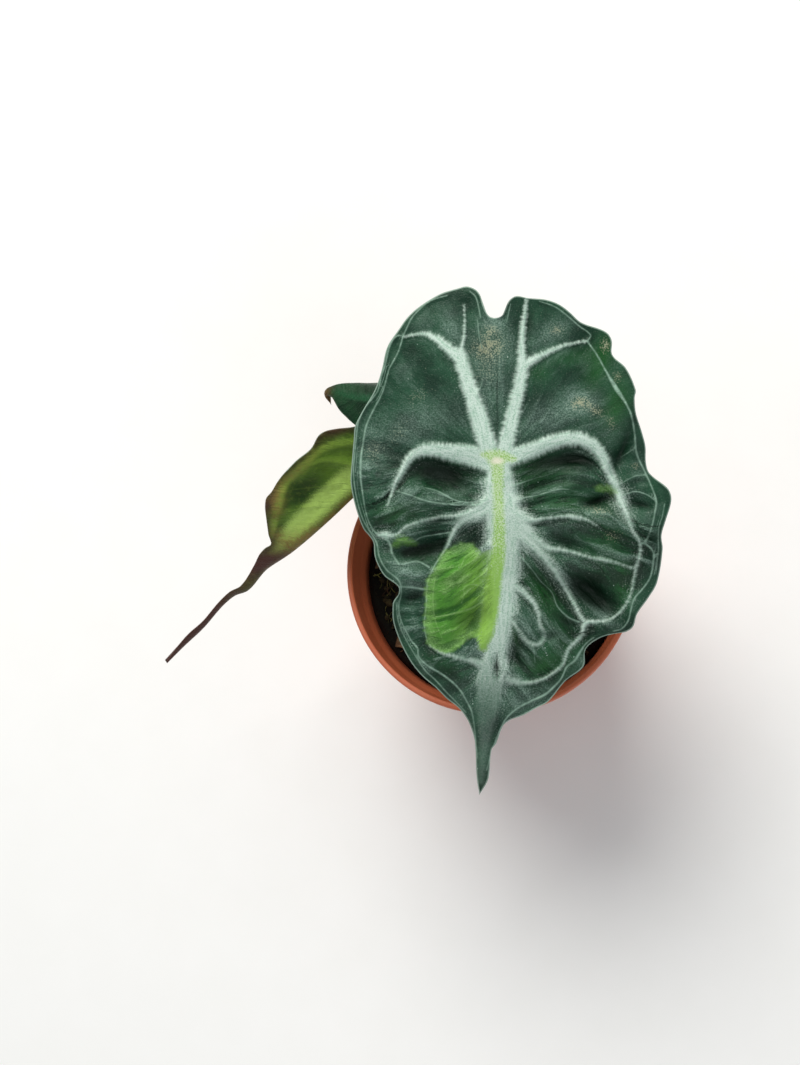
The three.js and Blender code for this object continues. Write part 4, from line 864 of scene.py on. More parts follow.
def build_main_blade(material):
    leaf, points, edge = cut_leaf("blade_main_living", MAIN_PATTERN)
    across, along = points[:, 0], points[:, 1]
    fields = drawn_fields(MAIN_PATTERN, MAIN_BANDS, MAIN_LINES, MAIN_CORE, points)
    fields["band"] = np.maximum(fields["band"], -oval_distance(MIDRIB_WINDOW, points) - 0.2)
    fields["hub"] = oval_distance(HUB, points)
    tongue = beside([smooth_line(line) for line in LIME_TONGUE], points)[0]
    fields["aurea"] = np.minimum(inside_distance(LIME_PATCH, points), tongue)
    # tone: pale frosty grey with painted sheen, scuffs, and greener spots
    fields["tone"] = np.clip(np.column_stack([
        spots(rows, points) for rows in (MAIN_BLOOM_AND_SHEEN, MAIN_SCUFF, MAIN_WARM)]), 0, 1)
    fields["dry"] = np.zeros(len(points))
    creases = crease_depths(MAIN_CREASES, points)
    # hollow: painted shade in the drawn furrows and the deeper creases
    shade = spots(MAIN_SHADE, points) * smoothstep(fields["band"], -0.3, 1.2)
    fields["hollow"] = np.clip(0.7 * shade + 0.6 * smoothstep(creases, 0.3, 3.2), 0, 1)
    fields["silver"] = np.clip(0.95 - spots(SILVER_LOSS, points), 0.1, 1)
    below_joint = 0.14 + 0.68 * smoothstep(-along, -2, 10)
    fields["haze"] *= below_joint * fields["silver"]
    lane, fields["flow"], fields["pleat"] = vein_flow(points)
    furrow = np.where(lane < 0, 0.3, 1) * (1 - 0.6 * smoothstep(-along, 50, 66))
    furrow *= smoothstep(fields["margin"], 0, 4) * smoothstep(fields["band"], -0.9, 0.9)
    fields["furrow"] = furrow

    slope = MAIN_PITCH * along + MAIN_LIST * across
    droop = (-TIP_DROOP * (np.clip(-along, 0, None) / 80) ** 1.9
             - LOBE_DROOP * (np.clip(along, 0, None) / 42) ** 2)
    crown = -EDGE_DROOP * (across / 42) ** 2
    heading = np.arctan2(across, along + 18)
    swing = np.where(across < 0, MAIN_WAVE["left"], MAIN_WAVE["right"])
    wave = swing * edge**3 * np.sin(MAIN_WAVE["turns"] * heading + MAIN_WAVE["phase"])
    ridge = smoothstep(fields["band"], 0.9, -0.7) * (1 - edge**6)
    cord = 0.25 * smoothstep(np.abs(fields["line"][:, 2]), 0.8, 0)
    pleat = 1.1 * fields["pleat"] * furrow
    pillow = 0.5 * smoothstep(fields["band"], 0.4, 4) * (1 - edge**4)
    height = (slope + droop + crown + wave + VEIN_RELIEF * ridge + cord + pleat + pillow
              + spots(MAIN_FOLDS, points) - creases)
    thickness = LEAF_THICKNESS * (1 - 0.55 * edge**12) + RIB_DEPTH * ridge * (1 - edge**4)

    face_normal = MAIN_NORMAL / np.linalg.norm(MAIN_NORMAL)
    face_right = np.cross([0, 1, 0], face_normal)
    face_right /= np.linalg.norm(face_right)
    face_up = np.cross(face_normal, face_right)
    flat = (MAIN_JOINT + np.outer(across, face_right) * MAIN_SCALE
            + np.outer(along, face_up) * MAIN_SCALE)
    reach = np.linalg.norm(FAR_POINT - MAIN_JOINT)
    top = flat + (FAR_POINT - flat) * (height / reach)[:, None]
    bottom = flat + (FAR_POINT - flat) * ((height - thickness) / reach)[:, None]
    shape_leaf(leaf, top, bottom, fields)
    finish_piece(leaf, "blade_main_living", material, ["blade_main"])


MAIN_PALETTE = {
    "deep": "#0b2f1f", "green": "#1a4930", "warm": "#1b551f", "bloom_and_sheen": "#7f9a8c",
    "silver": "#d8ecdf", "silver_shade": "#a9cbb6", "edge": "#a9c2b2", "crease_shade": "#06170c",
    "aurea": "#508e32", "aurea_trough_shade": "#23591f", "aurea_pale": "#a3cf80",
    "aurea_bright": "#7db043", "lime": "#90c052", "lime_pale": "#c9e2b2", "cream": "#f6f2dc",
    "scuff": "#b9baa8", "scuff_green": "#8f9668",
    "under": "#50683c", "under_deep": "#35502e", "under_rib": "#8ea06a", "under_core": "#a3b878",
    "under_pale": "#6a8450", "under_spot": "#4a4430", "under_warm_and_shade": "#5c7040",
    "under_edge": "#5a4a32", "dry": "#8a6a48",
}

leaf_skin = leaf_material("aroid_leaf_living", MAIN_PALETTE)
build_main_blade(leaf_skin)

# ---- Folded blades

# Lime core of the midrib on a folded blade's upper face
UPPER_CORE = [(0, 9, 0.3), (0, 2, 0.8), (0, -12, 0.8), (0, -26, 0.5), (0, -33, 0.2)]

# Each half leaves the keel sideways, bends up towards the fold's open side and runs on straight.
LEFT_LEAF = {
    "midrib": [
        (-12.7, 31.1, 100), (-23.4, 24.9, 97), (-33.8, 18.1, 94), (-41, 12.4, 91.5),
        (-49, 6.5, 88.5), (-56.1, 1.9, 85.5), (-60.9, -1.2, 82.5), (-66.3, -5.6, 78),
        (-70.9, -6.7, 75), (-75.3, -9.3, 72), (-81.9, -14.5, 66.5), (-89.2, -19.4, 61.5),
        (-95.9, -24.4, 57),
    ],
    "joint_at": 12.7, "open": (-0.5, 0.86, -0.03),
    "left_bend": 42, "right_bend": 42, "left_wave": 1.6, "right_wave": 1.3,
    "keel_radius": 4, "roll_from": 41, "roll_bend": 75, "roll_radius": 1.5,
    "half_width": 20, "wave_centre": 16, "wave_turns": 7, "rib": 1.4, "rib_width": 2.6,
    "half_margin": [
        (0, -95.9), (0.5, -93.8), (1.2, -88), (1.7, -82), (1.2, -74), (1.5, -65), (2.2, -57),
        (2.6, -51), (3.4, -47.5), (4.8, -44), (5.3, -41.4), (5.1, -39.4), (8, -37.6), (13, -33.6),
        (16.6, -29.9), (16.8, -27.4), (17.5, -24.4), (19.2, -16.2), (18.4, -12), (19.4, -8.4),
        (18, -4.6), (16.2, -1), (14.9, 2), (13.3, 6.5), (11.3, 10.5), (9.1, 13), (6.4, 13.8),
        (3.4, 12.6), (1.4, 10.8), (0, 10.2),
    ],
    "half_bands": [
        [(0, 0, 1.2), (5, 1.5, 0.9), (9, 0.5, 0.8), (12.5, -3, 0.8), (15, -8, 0.8),
         (16.5, -12, 0.8), (17, -18, 0.9), (15.8, -24.5, 1), (12.8, -29.5, 0.9),
         (9.8, -34, 0.7), (7, -37.5, 0.4)],
        [(0.8, 1, 1), (3.5, 5, 0.7), (5.5, 9.5, 0.4), (6, 13, 0.2)],
        [(5, -6, 0.8), (9.5, -9, 0.5), (13.5, -12, 0.3), (16.8, -16, 0.2)],
    ],
    "half_lines": [
        [(11, -1, 0.3), (14, 0, 0.2), (16.8, 0.4, 0.15)],
        [(15, -8, 0.3), (18, -8.2, 0.2), (20.6, -8, 0.15)],
        [(17, -18, 0.3), (19, -19.5, 0.2), (20.6, -20, 0.15)],
        [(5.5, -14, 0.3), (9, -18, 0.25), (13, -23, 0.2), (15, -26, 0.15)],
        [(5, -22, 0.3), (8, -26, 0.25), (11.5, -31, 0.2)],
    ],
    "core": [
        [(1, 12, 0.6), (2.8, 4, 1.7), (4.4, -8, 2.5), (4.7, -18, 2.5), (4.7, -26, 2.4),
         (4.4, -32, 2), (3.4, -37, 1.2), (2, -42, 0.5)],
        [(-1, 12, 0.6), (-3, 4, 1.6), (-4.8, -8, 2.3), (-5.2, -18, 2.3), (-4.8, -32, 1.6),
         (-2, -42, 0.5)],
    ],
    "low_rows": 150, "lobe_rows": 44, "columns": 36,
}

BACK_LEAF = {
    "midrib": [
        (6, 31, 120.5), (-6, 32.8, 118.5), (-18.4, 36, 115.5), (-26.5, 37.7, 113),
        (-32.1, 39.2, 111), (-36.4, 40.9, 109.5), (-38.4, 40.9, 108), (-38.1, 38.8, 104.5),
    ],
    "joint_at": 12.3, "open": (0.05, -0.28, 0.96),
    "left_bend": -80, "right_bend": 8, "left_wave": 0.8, "right_wave": 1.2,
    "keel_radius": 3.2, "roll_from": 29, "roll_bend": 25, "roll_radius": 2,
    "half_width": 17, "wave_centre": 12, "wave_turns": 7, "rib": 1.2, "rib_width": 2.2,
    "half_margin": [
        (0, -39.1), (0.6, -37.1), (1, -35.2), (1.4, -33.6), (2.5, -31.8), (4.2, -29.4), (6.4, -26),
        (8.7, -21.6), (11.9, -14.6), (13.6, -9), (14.4, -3), (14, 2), (12.8, 6.5), (10.6, 10.4),
        (8, 12.6), (5.2, 13), (2.8, 11.6), (1.2, 10.2), (0, 9.4),
    ],
    "half_bands": [
        [(0, 0, 1), (4, 1, 0.8), (8, -1, 0.6), (10.5, -5, 0.5), (11, -11, 0.4), (9, -17, 0.3)],
        [(0.8, 1, 0.9), (3, 5, 0.6), (5, 9, 0.4), (5.6, 12, 0.2)],
        [(1, -7, 0.7), (4, -11, 0.5), (7, -17, 0.3)],
    ],
    "half_lines": [
        [(10.5, -5, 0.2), (12.5, -5.5, 0.2), (13.8, -5.5, 0.15)],
        [(1, -14, 0.3), (3.5, -19, 0.25), (6, -24, 0.2)],
    ],
    "core": [UPPER_CORE],
    "low_rows": 90, "lobe_rows": 34, "columns": 32,
}


def mirrored(line):
    return [(-across, *rest) for across, *rest in line]


def folded_middle(leaf, across, along):
    """The middle of the blade's thickness at points of its pattern."""
    curve = smooth_line(leaf["midrib"], steps=12, places=3)
    walked = travelled(curve, 3)
    heading = np.gradient(curve, walked, axis=0)
    place = np.clip(leaf["joint_at"] - along, 0, walked[-1])
    origin = np.stack([np.interp(place, walked, curve[:, k]) for k in range(3)], axis=1)
    tangent = np.stack([np.interp(place, walked, heading[:, k]) for k in range(3)], axis=1)
    tangent /= np.linalg.norm(tangent, axis=1)[:, None]
    wanted = np.array(leaf["open"])
    opening = wanted - tangent * (tangent @ wanted)[:, None]
    opening /= np.linalg.norm(opening, axis=1)[:, None]
    sideways = np.cross(opening, tangent)
    bend = np.radians(np.where(across < 0, leaf["left_bend"], leaf["right_bend"]))
    wave = np.where(across < 0, leaf["left_wave"], leaf["right_wave"])
    tightness = smoothstep(-along, leaf["roll_from"], leaf["roll_from"] + 12)
    bend = bend + (math.radians(leaf["roll_bend"]) - bend) * tightness
    radius = leaf["keel_radius"] + (leaf["roll_radius"] - leaf["keel_radius"]) * tightness
    distance = np.abs(across)
    turned = np.minimum(distance / radius, np.abs(bend)) * np.sign(bend)
    straight = np.clip(distance - radius * np.abs(bend), 0, None)
    rise = radius * (1 - np.cos(turned)) * np.sign(bend) + straight * np.sin(bend)
    out = radius * np.abs(np.sin(turned)) + straight * np.cos(bend)
    turn = leaf["wave_turns"] * np.arctan2(across, along + leaf["wave_centre"])
    sway = wave * (distance / leaf["half_width"]) ** 2 * np.sin(turn)
    rise, out = rise + sway * np.cos(bend), (out - sway * np.sin(bend)) * np.sign(across)
    return origin + opening * rise[:, None] + sideways * out[:, None]


def build_folded_blade(name, node, leaf_shape, material, spots_drawn):
    margin = leaf_shape["half_margin"]
    pattern = {
        "spine": [margin[0], (0, 0), margin[-1]], "left": mirrored(margin), "right": margin,
        **{key: leaf_shape[key] for key in ("low_rows", "lobe_rows", "columns")},
    }
    leaf, points, edge = cut_leaf(name, pattern)
    across, along = points[:, 0], points[:, 1]
    bands, lines = leaf_shape["half_bands"], leaf_shape["half_lines"]
    fields = drawn_fields(pattern, bands + [mirrored(line) for line in bands],
                          lines + [mirrored(line) for line in lines], leaf_shape["core"], points)
    fields["hub"] = np.full(len(points), 5.0)
    fields["aurea"] = np.full(len(points), 5.0)
    lime_below = 0.5 * fields["core"]
    fields["core"] = beside([smooth_line(UPPER_CORE)], points)[0]
    fields["hollow"] = np.zeros(len(points))
    fields["silver"] = np.full(len(points), 0.5)
    fields["haze"] *= 0.2
    fields["flow"] = np.column_stack([along + np.abs(across) * 0.8, across * 0.16, across * 0])
    fields["furrow"] = np.full(len(points), 0.5)
    fields["pleat"] = np.zeros(len(points))
    tones = [spots(spots_drawn.get(key, []), points) for key in ("bloom_and_sheen", "scuff", "warm")]
    fields["tone"] = np.clip(np.column_stack(tones), 0, 1)
    fields["dry"] = np.clip(spots(spots_drawn.get("dry", []), points), 0, 1)

    step = 0.4
    middle = folded_middle(leaf_shape, across, along)
    sidestep = (folded_middle(leaf_shape, across + step, along)
                - folded_middle(leaf_shape, across - step, along))
    longstep = (folded_middle(leaf_shape, across, along + step)
                - folded_middle(leaf_shape, across, along - step))
    normal = np.cross(sidestep, longstep)
    normal /= np.linalg.norm(normal, axis=1)[:, None]
    keel = leaf_shape["rib"] * np.exp(-((across / leaf_shape["rib_width"]) ** 2)) * (1 - edge**2)
    keel *= 1 - 0.7 * smoothstep(-along, leaf_shape["roll_from"] - 4, leaf_shape["roll_from"] + 8)
    ridge = smoothstep(fields["band"], 0.9, -0.5) * (1 - edge**2)
    thread = smoothstep(fields["line"][:, 2], 0.7, 0)
    pillow = 0.35 * smoothstep(fields["band"], 0.3, 3) * (1 - edge**4)
    half = LEAF_THICKNESS / 2 * (1 - 0.5 * edge**10)
    top = middle + normal * (half + 0.3 * ridge + pillow)[:, None]
    bottom = middle - normal * (half + keel + 0.6 * ridge + 0.2 * thread - pillow)[:, None]
    shape_leaf(leaf, top, bottom, fields, {"core": lime_below})
    finish_piece(leaf, name, material, [node])


LEFT_PALETTE = {
    **MAIN_PALETTE,
    "under": "#4a701e", "under_deep": "#1c440a", "under_rib": "#9cc04c", "under_core": "#dcff8c",
    "under_pale": "#7da23a", "under_spot": "#2a2410", "under_warm_and_shade": "#8a783c",
    "under_edge": "#40331a", "dry": "#4b2c24",
}
# The back leaf lies under the main blade: all its colours, silver and lime too, are darkened as
# painted shade
BACK_PALETTE = {
    **MAIN_PALETTE, "deep": "#052813", "green": "#0f4020", "lime": "#1d5030", "silver": "#3a6446",
    "silver_shade": "#24502f", "lime_pale": "#34684a", "edge": "#2c5232", "bloom_and_sheen": "#2e5c3c",
    "dry": "#6c5230",
}
build_folded_blade(
    "blade_left_living", "blade_left", LEFT_LEAF,
    leaf_material("aroid_leaf_bronze_backed", LEFT_PALETTE),
    {"dry": [(0, -74, 24, 6, 90, 1), (0, -95, 14, 6, 90, 0.8), (3, -46, 3.5, 6, 0, 0.9),
             (18, -3, 2.2, 5, 0, 0.75), (15.4, -31.5, 1.6, 3.4, 0, 0.8), (0, -40, 4, 3.5, 0, 0.55),
             (20.6, -13.5, 1.2, 3.5, 20, 0.7), (18.4, -28.5, 1.5, 4, 0, 0.5)],
     "bloom_and_sheen": [(10.5, -9, 4, 6, 0, 0.9), (15.8, -16, 2, 6, 0, 0.6), (9, -29, 2, 5, 20, 0.5),
               (14, 0, 4, 5, 0, 0.4), (-11, -12, 4, 14, 0, 0.5)],
     # Olive-brown spots at across 0 are painted shade on the keel's lower side; those further out
     # are olive-brown patches
     "warm": [(0, -20, 1.5, 30, 0, 1.1), (0, -34, 3.4, 6, 0, 1), (6, -36.5, 4, 2.6, 0, 0.8),
              (16.5, -30, 2.4, 4, 0, 0.8), (17, -20, 1.6, 9, 0, 0.7), (13, -29.5, 2, 5, -30, 0.7)],
     "scuff": [(19, -5, 1.5, 2.6, 0, 1), (18.4, -1.6, 1.5, 2, 0, 0.9), (11.5, -21, 3, 7, 0, 0.5),
               (12, -31.5, 1.8, 1.8, 0, 0.8), (19.6, -9, 1, 2, 0, 0.6)]})
build_folded_blade(
    "blade_back_living", "blade_back", BACK_LEAF,
    leaf_material("aroid_leaf_in_painted_shade", BACK_PALETTE),
    {"dry": [(0, -38, 3, 2, 90, 1), (0, -35.5, 2, 1.6, 90, 0.5)]})

# ---- Leaf stalks


def shaped_grid(name, columns, rows, shape):
    """A grid whose vertices go where shape(u, v) puts them; its seams and poles are merged."""
    deselect()
    bpy.ops.mesh.primitive_grid_add(x_subdivisions=columns, y_subdivisions=rows, size=2)
    piece = bpy.context.object
    piece.name = name
    share = (get_points(piece.data)[:, :2] * MM + 1) / 2
    set_points(piece.data, shape(share[:, 0], share[:, 1]))
    bpy.ops.object.mode_set(mode="EDIT")
    bpy.ops.mesh.select_all(action="SELECT")
    bpy.ops.mesh.remove_doubles(threshold=1e-7)
    bpy.ops.mesh.normals_make_consistent(inside=False)
    bpy.ops.object.mode_set(mode="OBJECT")
    bpy.ops.object.shade_smooth()
    return piece


STALKS = {
    "main": {
        "path": [(1.5, 2.5, 45.5), (2, 4.5, 62), (3.5, 9.5, 84), (6.2, 15.8, 110),
                 (7.2, 16.4, 129.3)],
        "foot": 4, "head": 2.3, "sheath": 0.35,
    },
    "left": {
        "path": [(-3.5, -1, 45.5), (-4.5, 0.5, 62), (-9, 7, 78), (-16.5, 17, 90.5),
                 (-23, 24.5, 97.4)],
        "foot": 3.2, "head": 1.9, "sheath": 0.3,
    },
    "back": {
        "path": [(2.5, 8, 45.5), (4, 11.5, 62), (6, 22, 84), (1.5, 30, 104), (-5.9, 32.8, 118.6)],
        "foot": 3.4, "head": 1.9, "sheath": 0.3,
    },
}


def stalk_shape(stalk, u, v):
    """A tapered tube round the stalk's path, flared, grooved and winged at its foot into a sheath.
    """
    curve = smooth_line(stalk["path"], steps=16, places=3)
    walked = travelled(curve, 3)
    tangents = np.gradient(curve, walked, axis=0)
    tangents /= np.linalg.norm(tangents, axis=1)[:, None]
    first = np.cross(tangents[0], np.eye(3)[np.argmin(np.abs(tangents[0]))])
    normals = [np.cross(tangents[0], first / np.linalg.norm(first))]
    for tangent in tangents[1:]:
        normal = normals[-1] - tangent * (normals[-1] @ tangent)
        normals.append(normal / np.linalg.norm(normal))
    normals = np.array(normals)
    cap = 0.02
    share = np.clip((v - cap) / (1 - 2 * cap), 0, 1)
    closing = np.clip(np.minimum(v, 1 - v) / cap, 0, 1) ** 0.5
    place = share * walked[-1]

    def at(values):
        return np.stack([np.interp(place, walked, values[:, k]) for k in range(3)], axis=1)

    centre, normal, tangent = at(curve), at(normals), at(tangents)
    binormal = np.cross(tangent, normal)
    angle = 2 * math.pi * u
    radius = stalk["foot"] + (stalk["head"] - stalk["foot"]) * share**0.7
    sheath = 1 - smoothstep(share, 0.05, 0.5)
    flare = 1 + stalk["sheath"] * sheath
    facing = np.angle(np.exp(1j * (angle - math.pi / 2)))
    groove = 1 - (0.1 + 0.2 * sheath) * np.exp(-((facing / 0.42) ** 2))
    wings = 1 + 0.14 * sheath * np.exp(-(((np.abs(facing) - 0.7) / 0.16) ** 2))
    ribs = 1 + 0.012 * np.sin(14 * angle + 3 * share)
    radius = radius * groove * wings * ribs * closing
    return (centre + normal * (np.cos(angle) * radius * flare)[:, None]
            + binormal * (np.sin(angle) * radius)[:, None])


def stalk_material():
    """Living leaf stalk: a smooth waxy skin, green with brown-violet mottling in short strokes."""
    material, tree, shader = new_material(
        "aroid_stalk_mottled", sockets={"IOR": 1.45, "Specular IOR Level": 0.5})
    place = add_node(tree, "TexCoord").outputs["Object"]
    strokes = add_node(tree, "Mapping", {"Vector": place, "Scale": (900, 900, 260)})
    mottle = add_node(tree, "TexNoise", {"Vector": strokes, "Scale": 0.9, "Detail": 4})
    fibre = add_node(tree, "TexNoise", {"Vector": strokes, "Scale": 3.5, "Detail": 3})
    high = add_node(tree, "SeparateXYZ", {0: place})
    height = add_node(tree, "MapRange", {"Value": high.outputs["Z"], 1: 0.06, 2: 0.115})
    green = add_node(tree, "Mix", {0: height, 6: "#8b6a4e", 7: "#7f9c4c"}, **RGBA)
    green = add_node(tree, "Mix", {0: fibre, 6: green, 7: "#a8b56c"}, **RGBA)
    marks = add_node(tree, "MapRange", {"Value": mottle, 1: 0.5, 2: 0.62, 4: 0.8})
    colour = add_node(tree, "Mix", {0: marks, 6: green, 7: "#5a3c34"}, **RGBA)
    rough = add_node(tree, "MapRange", {"Value": fibre, 3: 0.3, 4: 0.5})
    paint(tree, shader, colour, rough, fibre, 0.08)
    return material


stalk_skin = stalk_material()
for stalk_name, stalk_drawn in STALKS.items():
    tube = shaped_grid("stalk", 56, 150, lambda u, v: stalk_shape(stalk_drawn, u, v))
    finish_piece(tube, f"stalk_{stalk_name}_living", stalk_skin, [f"petiole_{stalk_name}"])

# ---- Pot

POT_HEIGHT = 70
RIM_RADIUS = 40
RIM_WALL = 1.6
COLLAR_HEIGHT = 10
COLLAR_DRAFT = 0.6
BODY_TOP_RADIUS = 37.6
BASE_RADIUS = 28.5
BODY_WALL = 1.3
FLOOR_THICKNESS = 1.6
FLOOR_RECESS = 1
CENTRE_PAD_RADIUS = 13
FOOT_RING_WIDTH = 3.2
DRAIN_HOLES = 6
DRAIN_RADIUS = 3.5
DRAIN_CIRCLE = 19
POT_SIDES = 160


def turned_piece(name, profile, sides):
    """Turns a closed profile of (radius, height) points, ring by ring, from pole to pole."""
    deselect()
    radius, height = profile[1]
    bpy.ops.mesh.primitive_circle_add(vertices=sides, radius=radius * MM, fill_type="NGON",
                                      location=(0, 0, height * MM))
    bpy.ops.object.transform_apply(location=True, rotation=False, scale=False)
    bpy.ops.object.mode_set(mode="EDIT")
    bpy.ops.mesh.select_all(action="SELECT")
    for next_radius, next_height in profile[2:-1]:
        bpy.ops.mesh.extrude_region_move(
            TRANSFORM_OT_translate={"value": (0, 0, (next_height - height) * MM)})
        scale = next_radius / radius
        bpy.ops.transform.resize(value=(scale, scale, 1), center_override=(0, 0, 0),
                                 constraint_axis=(True, True, False))
        radius, height = next_radius, next_height
    bpy.ops.mesh.select_all(action="SELECT")
    bpy.ops.mesh.normals_make_consistent(inside=False)
    bpy.ops.object.mode_set(mode="OBJECT")
    piece = bpy.context.object
    piece.name = name
    return piece


def pot_material():
    """Terracotta polypropylene, injection moulded: satin, slightly mottled by the mould's
    sparked face, with fine scratches from stacking."""
    material, tree, shader = new_material(
        "polypropylene_moulded_terracotta", sockets={"IOR": 1.49, "Specular IOR Level": 0.5})
    place = add_node(tree, "TexCoord").outputs["Object"]
    spark = add_node(tree, "TexNoise", {"Vector": place, "Scale": 2200.0, "Detail": 3})
    cloud = add_node(tree, "TexNoise", {"Vector": place, "Scale": 70.0, "Detail": 4})
    rings = add_node(tree, "Mapping", {"Vector": place, "Scale": (40, 40, 1500)})
    scratch = add_node(tree, "TexNoise", {"Vector": rings, "Scale": 1.0, "Detail": 3})
    clay = add_node(tree, "Mix", {0: cloud, 6: "#bb5a38", 7: "#cf7350"}, **RGBA)
    streak = add_node(tree, "MapRange", {"Value": scratch, 1: 0.62, 2: 0.75, 4: 0.35})
    clay = add_node(tree, "Mix", {0: streak, 6: clay, 7: "#dc9272"}, **RGBA)
    rough = add_node(tree, "MapRange", {"Value": cloud, 3: 0.38, 4: 0.55})
    paint(tree, shader, clay, rough, spark, 0.05)
    return material


def build_pot():
    collar_foot = POT_HEIGHT - COLLAR_HEIGHT
    collar_radius = RIM_RADIUS - COLLAR_DRAFT
    profile = [
        (0, 0), (CENTRE_PAD_RADIUS, 0), (CENTRE_PAD_RADIUS + 0.3, 0.1),
        (CENTRE_PAD_RADIUS + 0.8, FLOOR_RECESS),
        (BASE_RADIUS - FOOT_RING_WIDTH - 0.8, FLOOR_RECESS),
        (BASE_RADIUS - FOOT_RING_WIDTH, 0.1), (BASE_RADIUS - FOOT_RING_WIDTH + 0.3, 0),
        (BASE_RADIUS - 0.9, 0), (BASE_RADIUS - 0.3, 0.25), (BASE_RADIUS, 0.8),
        (BODY_TOP_RADIUS, collar_foot - 1.2), (BODY_TOP_RADIUS + 0.3, collar_foot - 0.6),
        (collar_radius - 0.4, collar_foot - 0.1), (collar_radius, collar_foot + 0.3),
        (RIM_RADIUS - 0.1, POT_HEIGHT - 1.1), (RIM_RADIUS, POT_HEIGHT - 0.7),
        (RIM_RADIUS - 0.12, POT_HEIGHT - 0.3), (RIM_RADIUS - 0.45, POT_HEIGHT - 0.03),
        (RIM_RADIUS - 0.8, POT_HEIGHT), (RIM_RADIUS - RIM_WALL + 0.45, POT_HEIGHT - 0.02),
        (RIM_RADIUS - RIM_WALL + 0.1, POT_HEIGHT - 0.25), (RIM_RADIUS - RIM_WALL, POT_HEIGHT - 0.7),
        (collar_radius - RIM_WALL, collar_foot + 1.4),
        (collar_radius - RIM_WALL - 0.25, collar_foot + 0.9),
        (BODY_TOP_RADIUS - BODY_WALL + 0.2, collar_foot - 0.6),
        (BODY_TOP_RADIUS - BODY_WALL, collar_foot - 1.2),
        (BASE_RADIUS - BODY_WALL, FLOOR_THICKNESS + FLOOR_RECESS + 1),
        (BASE_RADIUS - BODY_WALL - 0.3, FLOOR_THICKNESS + FLOOR_RECESS + 0.3),
        (BASE_RADIUS - BODY_WALL - 1, FLOOR_THICKNESS + FLOOR_RECESS),
        (0, FLOOR_THICKNESS + FLOOR_RECESS),
    ]
    pot = turned_piece("pot_moulded", profile, POT_SIDES)
    for number in range(DRAIN_HOLES):
        angle = (number + 0.5) / DRAIN_HOLES * 2 * math.pi
        deselect()
        bpy.ops.mesh.primitive_cylinder_add(
            vertices=32, radius=DRAIN_RADIUS * MM, depth=12 * MM,
            location=(DRAIN_CIRCLE * MM * math.cos(angle), DRAIN_CIRCLE * MM * math.sin(angle), 0))
        drill = bpy.context.object
        cut = pot.modifiers.new("drain", "BOOLEAN")
        cut.operation = "DIFFERENCE"
        cut.solver = "EXACT"
        cut.object = drill
        bpy.context.view_layer.objects.active = pot
        bpy.ops.object.modifier_apply(modifier=cut.name)
        bpy.data.objects.remove(drill)
    deselect()
    pot.select_set(True)
    bpy.context.view_layer.objects.active = pot
    bpy.ops.object.shade_smooth_by_angle(angle=math.radians(32))
    finish_piece(pot, "pot_moulded", pot_material(), ["pot"])


build_pot()

# ---- Soil

SOIL_LEVEL = 61.5
SOIL_GAP = 0.35


def soil_radius(height):
    low = FLOOR_THICKNESS + FLOOR_RECESS + 1
    part = (height - low) / (POT_HEIGHT - COLLAR_HEIGHT - 1 - low)
    return BASE_RADIUS + (BODY_TOP_RADIUS - BASE_RADIUS) * min(part, 1) - BODY_WALL - SOIL_GAP


def soil_top(x, y):
    return (SOIL_LEVEL + 0.9 * np.sin(x / 7 + 1) * np.cos(y / 6)
            + 0.5 * np.sin(x / 2.6 + y / 3.4) - 0.0012 * (x * x + y * y))


def soil_lumps(x, y):
    """Lumps of a few millimetres with crumbs on them, from minus one to one and a half."""
    return (1.1 * mathutils_noise.noise(Vector((x / 2.3, y / 2.3, 3)))
            + 0.5 * mathutils_noise.noise(Vector((x / 0.9, y / 0.9, 9))))


def soil_material(name, dark, light, fleck, smoothest):
    """Peat and its bits: dull, porous and damp, each bit with a tint of its own."""
    material, tree, shader = new_material(name, sockets={"IOR": 1.4, "Specular IOR Level": 0.25})
    place = add_node(tree, "TexCoord").outputs["Object"]
    crumb = add_node(tree, "TexNoise", {"Vector": place, "Scale": 900.0, "Detail": 5,
                                        "Roughness": 0.7})
    cloud = add_node(tree, "TexNoise", {"Vector": place, "Scale": 160.0, "Detail": 3})
    tint = add_node(tree, "Attribute", attribute_name="tint").outputs["Fac"]
    base = add_node(tree, "Mix", {0: tint, 6: dark, 7: light}, **RGBA)
    share = add_node(tree, "MapRange", {"Value": crumb, 1: 0.5, 2: 0.75, 4: 0.6})
    colour = add_node(tree, "Mix", {0: share, 6: base, 7: fleck}, **RGBA)
    shade = add_node(tree, "MapRange", {"Value": cloud, 1: 0.3, 2: 0.6, 3: 0.7, 4: 0})
    colour = add_node(tree, "Mix", {0: shade, 6: colour, 7: dark}, **RGBA)
    rough = add_node(tree, "MapRange", {"Value": crumb, 3: smoothest, 4: 1.0})
    paint(tree, shader, colour, rough, crumb, 0.4)
    return material


def build_soil_bed():
    floor = FLOOR_THICKNESS + FLOOR_RECESS + SOIL_GAP
    shoulder = POT_HEIGHT - COLLAR_HEIGHT - 2.6
    rim = soil_radius(shoulder)
    rings = [(rim * k / 70, SOIL_LEVEL) for k in range(68)]
    rings += [(rim * 0.985, SOIL_LEVEL - 1), (rim, shoulder), (soil_radius(30), 30),
              (soil_radius(floor + 2), floor + 2), (soil_radius(floor + 1) - 1, floor), (0, floor)]
    rings = np.array(rings)[::-1]

    def shape(u, v):
        ring = np.rint(v * (len(rings) - 1)).astype(int)
        radius, height = rings[ring, 0], rings[ring, 1].copy()
        x, y = radius * np.cos(2 * math.pi * u), radius * np.sin(2 * math.pi * u)
        upper = height > SOIL_LEVEL - 1.5
        rough = np.array([soil_lumps(*point) for point in zip(x, y)])
        height[upper] = (soil_top(x, y) - (SOIL_LEVEL - height) + rough)[upper]
        return np.column_stack([x, y, height])

    bed = shaped_grid("soil_bed", 190, len(rings) - 1, shape)
    set_attribute(bed.data, "tint", np.zeros(len(bed.data.vertices)))
    return bed


